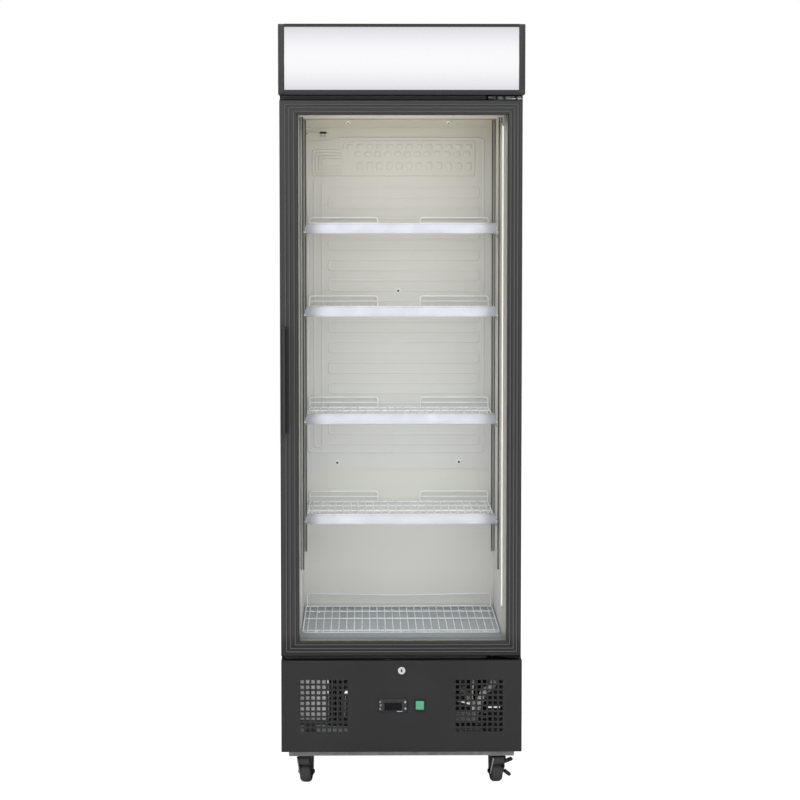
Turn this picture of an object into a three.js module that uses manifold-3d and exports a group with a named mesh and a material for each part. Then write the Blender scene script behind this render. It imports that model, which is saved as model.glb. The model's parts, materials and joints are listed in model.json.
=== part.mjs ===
// Glass door merchandiser: an upright one door display fridge with a lit canopy, on castors.
// Millimetres, +Z up. The door faces -Y and is hinged on the right as the user sees it.
// The pieces are drawn with Y = 0 at the front of the door, and the whole is centred at the end.
import * as THREE from "three";
import { mergeVertices } from "three/addons/utils/BufferGeometryUtils.js";
import Module from "manifold-3d";

const wasm = await Module();
wasm.setup();

// Driving dimensions
const cabinetWidth = 620;
const cabinetDepth = 548;
const sheet = 1.5; // painted steel of the outer skins
const seatGap = 0.3; // gap left between two pieces that touch
const overrun = 2; // how far a cutter runs past the face that it cuts

// Base, from the floor up
const wheelDiameter = 58;
const wheelSides = 14;
const wheelClearance = 10.8; // from the top of a wheel to the rivet head above it
const rivetHeadHeight = 2.5;
const crownThickness = 3;
const raceHeight = 5; // ball race between fork and castor plate
const castorPlateThickness = 3;
const basePanHeight = 11.5;
const basePanelHeight = 238;
const lowerGap = 12.4; // between base panel and door, where the bottom hinge sits

// Door
const doorHeight = 1422.6;
const doorHingeSideInset = 3.6; // the door stops this far short of the cabinet side at the hinges
const doorDepth = 45;
const gasketGap = 7; // from the back of the door to the face of the cabinet
const handleStileWidth = 47.5;
const hingeStileWidth = 37;
const railWidth = 38;
const upperGap = 13; // between door and canopy, where the top hinge sits

// Insulated box
const floorThickness = 45;
const roofThickness = 49.7;
const wallThickness = 48;
const backThickness = 60;
const liner = 2;
const compartmentHeadroom = 8; // from the top of the base panel to the underside of the foam
const faceFlange = 22; // width of the steel face round the mouth of the cabinet
const skirtFlange = 26; // return at the foot of each side, which sits on the base pan

// Canopy light box
const canopyHeight = 177.5;
const canopyDepth = 110;
const canopyProud = 20; // how far the canopy stands in front of the door
const canopySideProud = 2;
const cheekThickness = 15;
const canopyTopLip = 8;
const canopyBottomLip = 12;
const canopyPanelThickness = 3;
const canopyPanelSetback = 5;
const cheekCornerRadius = 6;
const cheekCornerSegments = 2;

// Stacked heights and depths
const wheelRadius = wheelDiameter / 2;
const axleHeight = wheelRadius * Math.cos(Math.PI / wheelSides); // the wheel stands on one facet
const rivetHeadBottom = axleHeight + wheelRadius + wheelClearance;
const crownBottom = rivetHeadBottom + rivetHeadHeight + seatGap;
const crownTop = crownBottom + crownThickness;
const castorPlateBottom = crownTop + raceHeight + seatGap;
const panBottom = castorPlateBottom + castorPlateThickness;
const panTop = panBottom + basePanHeight;
const wrapBottom = panTop + seatGap;
const basePanelTop = wrapBottom + basePanelHeight;
const doorBottom = basePanelTop + lowerGap;
const doorTop = doorBottom + doorHeight;
const canopyBottom = doorTop + upperGap;
const canopyTop = canopyBottom + canopyHeight;
const wrapTop = canopyBottom - seatGap;
const foamBottom = basePanelTop + compartmentHeadroom;
const insideFloor = foamBottom + floorThickness;
const insideCeiling = wrapTop - roofThickness;
const insideHeight = insideCeiling - insideFloor;
const halfWidth = cabinetWidth / 2;
const insideHalf = halfWidth - wallThickness;
const doorLeft = -halfWidth;
const doorRight = halfWidth - doorHingeSideInset;
const faceY = doorDepth + gasketGap;
const rearY = faceY + cabinetDepth;
const insideBackY = rearY - backThickness;
const insideDepth = insideBackY - faceY;
const glassLeft = doorLeft + handleStileWidth;
const glassRight = doorRight - hingeStileWidth;
const glassBottom = doorBottom + railWidth;
const glassTop = doorTop - railWidth;

// Colours and finishes
function finish(color, roughness, metalness) {
  return { color, roughness, metalness };
}
const charcoal = finish(0x3a3a3b, 0.5, 0.1);
const blackPlastic = finish(0x1c1c1d, 0.45, 0);
const linerWhite = finish(0xcfcfc6, 0.45, 0);
const foamYellow = finish(0xd8c48a, 0.95, 0);
const galvanised = finish(0x9a9c9d, 0.45, 0.8);
const zinc = finish(0xb9bcbf, 0.3, 0.9);
const opal = finish(0xf4f4f8, 0.35, 0);
const lampWhite = finish(0xfdfdf4, 0.3, 0);
const glassTint = finish(0xdfe8e4, 0.05, 0);
const spacerGrey = finish(0x77797a, 0.4, 0.6);
const gasketBeige = finish(0xa09a88, 0.7, 0);
const wireWhite = finish(0xdfe3e7, 0.35, 0);
const stripWhite = finish(0xeeeef2, 0.3, 0);
const plateWhite = finish(0xc8cac4, 0.45, 0.1);
const tyreBlack = finish(0x232324, 0.75, 0);
const switchGreen = finish(0x5ab482, 0.3, 0);
const copper = finish(0xb06a42, 0.35, 0.9);
const compressorBlack = finish(0x17181a, 0.4, 0.2);

// Solids from three.js geometry, joined and cut
function solidOf(geometry) {
  const plain = geometry.index ? geometry.toNonIndexed() : geometry.clone();
  plain.deleteAttribute("normal");
  plain.deleteAttribute("uv");
  const merged = mergeVertices(plain, 1e-4);
  const closed = new wasm.Mesh({
    numProp: 3,
    vertProperties: merged.attributes.position.array,
    triVerts: new Uint32Array(merged.index.array),
  });
  closed.merge();
  return new wasm.Manifold(closed);
}

function joined(first, ...others) {
  return others.reduce((whole, piece) => whole.add(piece), first);
}

function cut(whole, ...cutters) {
  return cutters.reduce((rest, cutter) => rest.subtract(cutter), whole);
}

function block(x0, x1, y0, y1, z0, z1) {
  // Each corner is written as given, so that two blocks that share a face share it exactly.
  const box = new THREE.BoxGeometry(1, 1, 1);
  const corner = box.attributes.position;
  for (let i = 0; i < corner.count; i += 1) {
    corner.setXYZ(
      i, corner.getX(i) < 0 ? x0 : x1, corner.getY(i) < 0 ? y0 : y1, corner.getZ(i) < 0 ? z0 : z1,
    );
  }
  return solidOf(box);
}

function shapeFrom(points) {
  return new THREE.Shape(points.map(([a, b]) => new THREE.Vector2(a, b)));
}

function extruded(shape, depth, curveSegments = 6) {
  return new THREE.ExtrudeGeometry(shape, { depth, bevelEnabled: false, curveSegments });
}

// A shape drawn in X and Z, standing from y0 to y0 + thickness.
function standing(shape, y0, thickness, curveSegments) {
  const body = extruded(shape, thickness, curveSegments);
  body.rotateX(Math.PI / 2);
  body.translate(0, y0 + thickness, 0);
  return solidOf(body);
}

// A profile drawn in Y and Z, run along X from x0.
const alongXBasis = new THREE.Matrix4().makeBasis(
  new THREE.Vector3(0, 1, 0),
  new THREE.Vector3(0, 0, 1),
  new THREE.Vector3(1, 0, 0),
);
function alongX(shape, x0, length, curveSegments) {
  const body = extruded(shape, length, curveSegments);
  body.applyMatrix4(alongXBasis);
  body.translate(x0, 0, 0);
  return solidOf(body);
}

// A plan drawn in X and Y, raised from z0.
function raised(shape, z0, height, curveSegments) {
  const body = extruded(shape, height, curveSegments);
  body.translate(0, 0, z0);
  return solidOf(body);
}

function rod(radius, length, sides, axis, x, y, z) {
  const body = new THREE.CylinderGeometry(radius, radius, length, sides);
  if (axis === "x") body.rotateZ(-Math.PI / 2);
  if (axis === "z") body.rotateX(Math.PI / 2);
  body.translate(x, y, z);
  return solidOf(body);
}

// Radius of a bore with that many sides in which a pin of the same form turns freely.
const boreClearance = 0.3;
function bore(pin, sides) {
  return (pin + boreClearance) / Math.cos(Math.PI / sides);
}

function rectangle(x0, x1, z0, z1) {
  return shapeFrom([[x0, z0], [x1, z0], [x1, z1], [x0, z1]]);
}

function rectangleHole(x0, x1, z0, z1) {
  return new THREE.Path(rectangle(x0, x1, z0, z1).getPoints());
}

function ringShape(outer, inset) {
  const [x0, x1, z0, z1] = outer;
  const shape = rectangle(x0, x1, z0, z1);
  shape.holes.push(rectangleHole(x0 + inset, x1 - inset, z0 + inset, z1 - inset));
  return shape;
}

const fridge = new THREE.Group();
const finishes = new Map();
function piece(name, solid, look, parent = fridge) {
  const made = solid.getMesh();
  const geometry = new THREE.BufferGeometry();
  geometry.setAttribute("position", new THREE.BufferAttribute(made.vertProperties, made.numProp));
  geometry.setIndex(new THREE.BufferAttribute(made.triVerts, 1));
  geometry.computeVertexNormals();
  if (!finishes.has(look)) finishes.set(look, new THREE.MeshStandardMaterial(look));
  const mesh = new THREE.Mesh(geometry, finishes.get(look));
  mesh.name = name;
  parent.add(mesh);
  return mesh;
}

// Outer skin: one folded sheet for both sides and the roof, with a face flange round the mouth
function outerWrap() {
  const w = halfWidth;
  const skin = shapeFrom([
    [-w, wrapBottom], [-w + skirtFlange, wrapBottom], [-w + skirtFlange, wrapBottom + sheet],
    [-w + sheet, wrapBottom + sheet], [-w + sheet, wrapTop - sheet], [w - sheet, wrapTop - sheet],
    [w - sheet, wrapBottom + sheet], [w - skirtFlange, wrapBottom + sheet],
    [w - skirtFlange, wrapBottom], [w, wrapBottom], [w, wrapTop], [-w, wrapTop],
  ]);
  const face = shapeFrom([
    [-w, wrapBottom], [-w + faceFlange, wrapBottom], [-w + faceFlange, wrapTop - faceFlange],
    [w - faceFlange, wrapTop - faceFlange], [w - faceFlange, wrapBottom], [w, wrapBottom],
    [w, wrapTop], [-w, wrapTop],
  ]);
  return joined(standing(skin, faceY, cabinetDepth), standing(face, faceY, sheet));
}

// Foam body: fills the space between the steel skin and the liner
function insulation() {
  const x = halfWidth - sheet - seatGap;
  const top = wrapTop - sheet - seatGap;
  const front = faceY + sheet + seatGap;
  const back = rearY - sheet - seatGap;
  const cavityX = insideHalf + liner + seatGap;
  return cut(
    block(-x, x, front, back, foamBottom, top),
    block(
      -cavityX, cavityX, front - overrun, insideBackY + liner + seatGap,
      insideFloor - liner - seatGap, insideCeiling + liner + seatGap,
    ),
  );
}

// Inner liner: a box open to the front, with a flange over the foam and two screw plugs overhead
const plugRadius = 7;
const plugHeight = 2.5;
const plugSides = 8;
const plugOffsetShare = 0.515; // of half the inside width
const plugDepthShare = 0.38;
function innerLiner() {
  const x = insideHalf + liner;
  const flangeX = halfWidth - faceFlange - seatGap;
  const flangeTop = wrapTop - faceFlange - seatGap;
  const shell = joined(
    block(-x, x, faceY, insideBackY + liner, insideFloor - liner, insideCeiling + liner),
    block(-flangeX, flangeX, faceY, faceY + sheet, foamBottom, flangeTop),
  );
  const hollow = cut(
    shell,
    block(-insideHalf, insideHalf, faceY - overrun, insideBackY, insideFloor, insideCeiling),
  );
  const plugY = faceY + insideDepth * plugDepthShare;
  const plugZ = insideCeiling - plugHeight / 2;
  const plugs = [-1, 1].map((side) =>
    rod(plugRadius, plugHeight, plugSides, "z", side * insideHalf * plugOffsetShare, plugY, plugZ),
  );
  return joined(hollow, ...plugs);
}

// Rear skin of the insulated box, stiffened by three pressed beads
const beadWidth = 14;
const beadHeight = 1.2;
const beadMargin = 90;
const beadCount = 3;
function backPanel() {
  const x = halfWidth - sheet - seatGap;
  const top = wrapTop - sheet - seatGap;
  const plate = block(-x, x, rearY - sheet, rearY, foamBottom, top);
  const pitch = (2 * (x - beadMargin)) / (beadCount - 1);
  const beads = [];
  for (let i = 0; i < beadCount; i += 1) {
    const middle = -x + beadMargin + i * pitch;
    const bead = shapeFrom([
      [middle - beadWidth / 2, rearY - sheet / 2], [middle + beadWidth / 2, rearY - sheet / 2],
      [middle + beadWidth / 4, rearY + beadHeight], [middle - beadWidth / 4, rearY + beadHeight],
    ]);
    beads.push(raised(bead, foamBottom + beadMargin, top - foamBottom - 2 * beadMargin));
  }
  return joined(plate, ...beads);
}

// Base pan: a folded steel tray that carries the castor plates and their swivel pins
const panSideInset = 19;
const panHalfWidth = halfWidth - panSideInset;
const panFrontY = 12;
const panRearInset = 6;
const castorPlateWidth = 62;
const castorPlateLength = 74;
const castorSideInset = 60;
const castorX = halfWidth - castorSideInset;
const castorPlateShift = 9; // the plate reaches this much further out than its swivel pin
const castorFrontY = 58;
const castorRearInset = 58;
const pinRadius = 6;
const rivetHeadRadius = 9;
const pinSides = 10;
const castorPlaces = [
  { name: "front_left", x: -castorX, y: castorFrontY, angle: -9 },
  { name: "front_right", x: castorX, y: castorFrontY, angle: 9 },
  { name: "rear_left", x: -castorX, y: rearY - castorRearInset, angle: 6 },
  { name: "rear_right", x: castorX, y: rearY - castorRearInset, angle: -14 },
];
function basePan() {
  const panRear = rearY - panRearInset;
  const shell = cut(
    block(-panHalfWidth, panHalfWidth, panFrontY, panRear, panBottom, panTop),
    block(
      -panHalfWidth + sheet, panHalfWidth - sheet, panFrontY + sheet, panRear - sheet,
      panBottom - overrun, panTop - sheet,
    ),
  );
  const castorParts = castorPlaces.flatMap(({ x, y }) => {
    const middle = x + Math.sign(x) * castorPlateShift;
    return [
      block(
        middle - castorPlateWidth / 2, middle + castorPlateWidth / 2,
        y - castorPlateLength / 2, y + castorPlateLength / 2, castorPlateBottom, panBottom,
      ),
      block(
        middle - castorPlateWidth / 2 + sheet, middle + castorPlateWidth / 2 - sheet,
        y - castorPlateLength / 2 + sheet, y + castorPlateLength / 2 - sheet,
        panBottom - sheet, panTop - sheet,
      ),
      rod(
        pinRadius, panBottom - rivetHeadBottom, pinSides, "z",
        x, y, (panBottom + rivetHeadBottom) / 2,
      ),
      rod(
        rivetHeadRadius, rivetHeadHeight, pinSides, "z",
        x, y, rivetHeadBottom + rivetHeadHeight / 2,
      ),
    ];
  });
  return joined(shell, ...castorParts);
}

// Castors: a pressed fork with its axle bolt, a wheel that turns on it, a brake lever on one
const wheelWidth = 25;
const wheelShoulder = 5;
const hubRadius = 11;
const hubWidth = 27;
const rimRecess = 3;
const rimRadius = 20;
const axleRadius = 4;
const axleSides = 8;
const cheekGap = 1;
const forkSheet = 3;
const nutRadius = 7;
const nutHeight = 4;
const nutSides = 6;
const castorTrail = 20;
const crownLength = 48;
const cheekFootRadius = 11;
const cheekSegments = 3;
const raceRadius = 23;
const raceSides = 12;
const cheekInner = hubWidth / 2 + cheekGap;
const cheekOuter = cheekInner + forkSheet;

function castorFork(withBrakePin) {
  const outline = new THREE.Shape();
  outline.moveTo(-crownLength / 2, crownTop);
  outline.lineTo(-crownLength / 2, crownBottom - crownThickness);
  outline.lineTo(castorTrail - cheekFootRadius, axleHeight);
  outline.absarc(castorTrail, axleHeight, cheekFootRadius, Math.PI, 2 * Math.PI, false);
  outline.lineTo(crownLength / 2 + cheekFootRadius, crownBottom - crownThickness);
  outline.lineTo(crownLength / 2, crownTop);
  const crown = block(
    -cheekOuter, cheekOuter, -crownLength / 2, crownLength / 2, crownBottom, crownTop,
  );
  const raceTop = castorPlateBottom - seatGap;
  const race = rod(raceRadius, raceTop - crownBottom, raceSides, "z", 0, 0, (raceTop + crownBottom) / 2);
  const boltStart = -cheekOuter - nutHeight;
  const boltEnd = withBrakePin ? cheekOuter : -boltStart;
  const parts = [
    alongX(outline, -cheekOuter, forkSheet, cheekSegments),
    alongX(outline, cheekInner, forkSheet, cheekSegments),
    race,
    rod(
      axleRadius, boltEnd - boltStart, axleSides, "x",
      (boltEnd + boltStart) / 2, castorTrail, axleHeight,
    ),
    rod(nutRadius, nutHeight, nutSides, "x", -cheekOuter - nutHeight / 2, castorTrail, axleHeight),
  ];
  if (withBrakePin) {
    const pinLength = leverThickness + 2 * seatGap + leverHeadHeight + overrun;
    const headX = cheekOuter + leverThickness + 2 * seatGap + leverHeadHeight / 2;
    parts.push(
      rod(leverPinRadius, pinLength, axleSides, "x", cheekOuter - overrun + pinLength / 2, leverY, leverZ),
      rod(leverHeadRadius, leverHeadHeight, axleSides, "x", headX, leverY, leverZ),
    );
  } else {
    parts.push(
      rod(nutRadius, nutHeight, nutSides, "x", cheekOuter + nutHeight / 2, castorTrail, axleHeight),
    );
  }
  const pinHole = rod(
    bore(pinRadius, pinSides), raceTop - crownBottom + 2 * overrun, pinSides, "z",
    0, 0, (raceTop + crownBottom) / 2,
  );
  return cut(joined(crown, ...parts), pinHole);
}

function castorWheel() {
  const boreRadius = bore(axleRadius, axleSides);
  const half = wheelWidth / 2;
  const profile = [
    [boreRadius, -hubWidth / 2], [hubRadius, -hubWidth / 2], [hubRadius, -half + rimRecess],
    [rimRadius, -half + rimRecess], [wheelRadius - wheelShoulder, -half],
    [wheelRadius, -half + wheelShoulder], [wheelRadius, half - wheelShoulder],
    [wheelRadius - wheelShoulder, half], [rimRadius, half - rimRecess],
    [hubRadius, half - rimRecess], [hubRadius, hubWidth / 2], [boreRadius, hubWidth / 2],
    [boreRadius, -hubWidth / 2],
  ];
  const wheel = new THREE.LatheGeometry(
    profile.map(([r, a]) => new THREE.Vector2(r, a)),
    wheelSides,
    Math.PI / wheelSides,
  );
  wheel.rotateZ(-Math.PI / 2);
  wheel.translate(0, castorTrail, axleHeight);
  return solidOf(wheel);
}

// Brake lever: rocks on a pin outside the fork, with one tab to press on and one to release
const leverThickness = 2.5;
const leverPinRadius = 3;
const leverHeadRadius = 5.5;
const leverHeadHeight = 2;
const leverHubRadius = 9;
const leverForward = 4;
const leverAboveAxle = 12;
const leverY = castorTrail - leverForward;
const leverZ = axleHeight + leverAboveAxle;
const leverTabWidth = 12;
const leverTabRoot = 11; // from the lever pin to the root of each tab
const pressReach = 25;
const pressRise = 12;
const releaseReach = 18;
const releaseDrop = 15;
const leverTabs = [
  { reach: pressReach, rise: pressRise, at: leverTabRoot },
  { reach: releaseReach, rise: -releaseDrop, at: -leverTabRoot },
];
function brakeLever() {
  const inner = cheekOuter + seatGap;
  const hub = rod(leverHubRadius, leverThickness, pinSides, "x", inner + leverThickness / 2, leverY, leverZ);
  const tabs = leverTabs.map(({ reach, rise, at }) => {
    const root = leverZ + at;
    const tab = shapeFrom([
      [inner, root - leverThickness], [inner + leverThickness, root - leverThickness],
      [inner + reach, root + rise - leverThickness], [inner + reach, root + rise],
      [inner + leverThickness, root + leverThickness], [inner, root + leverThickness],
    ]);
    const arm = block(
      inner, inner + leverThickness, leverY - leverTabWidth / 2, leverY + leverTabWidth / 2,
      Math.min(leverZ, root - leverThickness), Math.max(leverZ, root + leverThickness),
    );
    return joined(standing(tab, leverY - leverTabWidth / 2, leverTabWidth), arm);
  });
  const hole = rod(
    bore(leverPinRadius, axleSides), leverThickness + 2 * overrun, axleSides, "x",
    inner + leverThickness / 2, leverY, leverZ,
  );
  return cut(joined(hub, ...tabs), hole);
}

// Base front panel: a folded tray with two punched grilles and cut-outs for lock, display and switch
const panelSetback = 2;
const grilleColumns = 9;
const grilleRows = 10;
const grillePitch = 14;
const grilleHole = 8.8;
const grilleSideInset = 110; // from the side of the cabinet to the middle of a grille
const grilleX = halfWidth - grilleSideInset;
const grilleCentreDrop = 118; // from the top of the panel to the middle of a grille
const lockDrop = 26;
const controlsDrop = 116;
const lockHoleRadius = 8.4;
const controllerX = -22;
const controllerWidth = 77;
const controllerHeight = 35;
const controllerLip = 3;
const switchX = 47;
const switchWidth = 28;
const switchHeight = 33;
const switchLip = 2;
const cutoutGap = 0.5;
const lockZ = basePanelTop - lockDrop;
const controlsZ = basePanelTop - controlsDrop;
const panelY = panelSetback;

function basePanel() {
  const w = halfWidth;
  const firstColumn = (-(grilleColumns - 1) * grillePitch) / 2;
  const firstRow = basePanelTop - grilleCentreDrop - ((grilleRows - 1) * grillePitch) / 2;
  const holes = [];
  for (const middle of [-grilleX, grilleX]) {
    for (let column = 0; column < grilleColumns; column += 1) {
      for (let row = 0; row < grilleRows; row += 1) {
        const x = middle + firstColumn + column * grillePitch;
        const z = firstRow + row * grillePitch;
        holes.push(panelHole(x, z, grilleHole, grilleHole));
      }
    }
  }
  const lockHole = rod(
    lockHoleRadius, sheet + 2 * overrun, lockSides, "y", 0, panelY + sheet / 2, lockZ,
  );
  for (const [x, width, height, lip] of [
    [controllerX, controllerWidth, controllerHeight, controllerLip],
    [switchX, switchWidth, switchHeight, switchLip],
  ]) {
    const margin = 2 * (cutoutGap - lip);
    holes.push(panelHole(x, controlsZ, width + margin, height + margin));
  }
  const back = faceY - seatGap;
  const tray = cut(
    block(-w, w, panelY, back, wrapBottom, basePanelTop),
    block(
      -w + sheet, w - sheet, panelY + sheet, back + overrun,
      wrapBottom + sheet, basePanelTop - sheet,
    ),
  );
  const slot = camSlot(basePanelTop - sheet - overrun, basePanelTop + overrun, basePanelTop - sheet);
  return cut(tray, lockHole, slot, ...holes);
}

function panelHole(x, z, width, height) {
  return block(
    x - width / 2, x + width / 2, panelY - overrun, panelY + sheet + overrun,
    z - height / 2, z + height / 2,
  );
}

// Lock: a fixed housing through the panel and a barrel whose cam swings up behind the door
const lockFlangeRadius = 9.6;
const lockFlangeHeight = 2.5;
const lockBodyRadius = 8;
const lockBodyLength = 22;
const barrelRadius = 5.6;
const keySlotWidth = 1.6;
const keySlotHeight = 6;
const keySlotDepth = 6;
const lockSides = 14;
const camThickness = 2.5;
const camWidth = 10;
const keeperReach = 7; // how far the cam enters the door
const camLength = lockDrop + lowerGap + keeperReach;
const camSide = 3; // clearance on each side of the cam where it swings through a slot
const camFront = panelY - lockFlangeHeight + lockBodyLength;

// A slot for the cam between two heights. Its tip is furthest aside at the lower one.
function camSlot(bottom, top, entry) {
  const aside = Math.sqrt(camLength ** 2 - (entry - lockZ) ** 2) + camSide;
  return block(
    -aside, camWidth / 2 + camSide, camFront - camSide, camFront + camThickness + camSide, bottom, top,
  );
}

function lockHousing() {
  const flange = rod(
    lockFlangeRadius, lockFlangeHeight, lockSides, "y",
    0, panelY - seatGap - lockFlangeHeight / 2, lockZ,
  );
  const bodyStart = panelY - seatGap - lockFlangeHeight;
  const body = rod(
    lockBodyRadius, lockBodyLength, lockSides, "y", 0, bodyStart + lockBodyLength / 2, lockZ,
  );
  const barrelHole = rod(
    bore(barrelRadius, lockSides), lockBodyLength + 2 * overrun, lockSides, "y",
    0, bodyStart + lockBodyLength / 2, lockZ,
  );
  return cut(joined(flange, body), barrelHole);
}

function lockBarrel() {
  const start = panelY - seatGap - lockFlangeHeight;
  const length = camFront + camThickness - start;
  const plug = rod(barrelRadius, length, lockSides, "y", 0, start + length / 2, lockZ);
  const cam = block(
    -camLength, 0, camFront, camFront + camThickness, lockZ - camWidth / 2, lockZ + camWidth / 2,
  );
  const slot = block(
    -keySlotWidth / 2, keySlotWidth / 2, start - overrun, start + keySlotDepth,
    lockZ - keySlotHeight / 2, lockZ + keySlotHeight / 2,
  );
  return cut(joined(plug, cam), slot);
}

// Temperature controller: bezel with a sunk display, its body behind the panel, and two keys
const bezelProud = 3.5;
const bezelChamfer = 2;
const windowWidth = 45;
const windowHeight = 28;
const windowDepth = 1.5;
const controllerBodyDepth = 42;
const keyRadius = 3;
const keyProud = 1.4;
const keyDepth = 2.6;
const keyShift = 31.5; // from the middle of the controller to its column of keys
const keyX = controllerX + keyShift;
const keyOffset = 8.5;
const keySides = 12;
const keyTravel = 0.8;

function chamferedFrame(x, z, width, height, front, depth, chamfer) {
  const lower = extruded(rectangle(-width / 2, width / 2, -height / 2, height / 2), depth);
  const position = lower.attributes.position;
  for (let i = 0; i < position.count; i += 1) {
    if (position.getZ(i) > depth / 2) {
      position.setX(i, position.getX(i) - Math.sign(position.getX(i)) * chamfer);
      position.setY(i, position.getY(i) - Math.sign(position.getY(i)) * chamfer);
    }
  }
  lower.rotateX(Math.PI / 2);
  lower.translate(x, front + depth, z);
  return solidOf(lower);
}

function controllerBezel() {
  const back = panelY - seatGap;
  const front = back - bezelProud;
  const lip = chamferedFrame(
    controllerX, controlsZ, controllerWidth, controllerHeight, front, bezelProud, bezelChamfer,
  );
  const halfW = controllerWidth / 2 - controllerLip;
  const halfH = controllerHeight / 2 - controllerLip;
  const body = block(
    controllerX - halfW, controllerX + halfW, back - bezelProud / 2, back + controllerBodyDepth,
    controlsZ - halfH, controlsZ + halfH,
  );
  const display = block(
    controllerX - windowWidth / 2, controllerX + windowWidth / 2, front - overrun,
    front + windowDepth, controlsZ - windowHeight / 2, controlsZ + windowHeight / 2,
  );
  const keyHoles = [-keyOffset, keyOffset].map((offset) =>
    rod(
      keyRadius + boreClearance, 2 * (keyDepth + keyTravel + seatGap), keySides, "y",
      keyX, front, controlsZ + offset,
    ),
  );
  return cut(joined(lip, body), display, ...keyHoles);
}

function controllerKey(offset) {
  const front = panelY - seatGap - bezelProud;
  const length = keyProud + keyDepth;
  return rod(keyRadius, length, keySides, "y", keyX, front - keyProud + length / 2, controlsZ + offset);
}

// Rocker switch: a black frame snapped into the panel, and the lit rocker that tips in it
const switchProud = 2.5;
const switchBodyDepth = 24;
const switchWall = 1;
const rockerGap = 0.5;
const rockerEndGap = 1.8; // room above and below the rocker for its ends as it tips
const rockerProud = 3;
const rockerHalfDepth = 7;
const rockerPivotDepth = 6;
function switchFrame() {
  const back = panelY - seatGap;
  const front = back - switchProud;
  const lip = chamferedFrame(
    switchX, controlsZ, switchWidth, switchHeight, front, switchProud, switchLip / 2,
  );
  const halfW = switchWidth / 2 - switchLip;
  const halfH = switchHeight / 2 - switchLip;
  const body = block(
    switchX - halfW, switchX + halfW, back - switchProud / 2, back + switchBodyDepth,
    controlsZ - halfH, controlsZ + halfH,
  );
  const well = block(
    switchX - halfW + switchWall, switchX + halfW - switchWall, front - overrun,
    front + rockerPivotDepth + rockerHalfDepth + switchLip, controlsZ - halfH + switchWall,
    controlsZ + halfH - switchWall,
  );
  return cut(joined(lip, body), well);
}

function switchRocker() {
  const front = panelY - seatGap - switchProud;
  const halfW = switchWidth / 2 - switchLip - switchWall - rockerGap;
  const halfH = switchHeight / 2 - switchLip - switchWall - rockerEndGap;
  const pivotY = front + rockerPivotDepth;
  const outline = shapeFrom([
    [front - rockerProud, controlsZ + halfH], [front, controlsZ],
    [front + rockerGap, controlsZ - halfH], [pivotY, controlsZ - halfH + rockerEndGap],
    [pivotY + rockerHalfDepth, controlsZ], [pivotY, controlsZ + halfH - rockerEndGap],
  ]);
  return alongX(outline, switchX - halfW, 2 * halfW);
}

// Rear guard: the slotted cover of the machine compartment
const slotColumns = 2;
const slotRows = 6;
const slotWidth = 220;
const slotHeight = 18;
const slotPitchX = 270;
const slotPitchZ = 32;
function rearGuard() {
  const x = halfWidth - sheet - seatGap;
  const bottom = wrapBottom + sheet + seatGap;
  const top = foamBottom - seatGap;
  const slots = [];
  for (let column = 0; column < slotColumns; column += 1) {
    for (let row = 0; row < slotRows; row += 1) {
      const cx = (column - (slotColumns - 1) / 2) * slotPitchX;
      const cz = (bottom + top) / 2 + (row - (slotRows - 1) / 2) * slotPitchZ;
      slots.push(
        block(
          cx - slotWidth / 2, cx + slotWidth / 2, rearY - sheet - overrun, rearY + overrun,
          cz - slotHeight / 2, cz + slotHeight / 2,
        ),
      );
    }
  }
  return cut(block(-x, x, rearY - sheet, rearY, bottom, top), ...slots);
}

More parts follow.
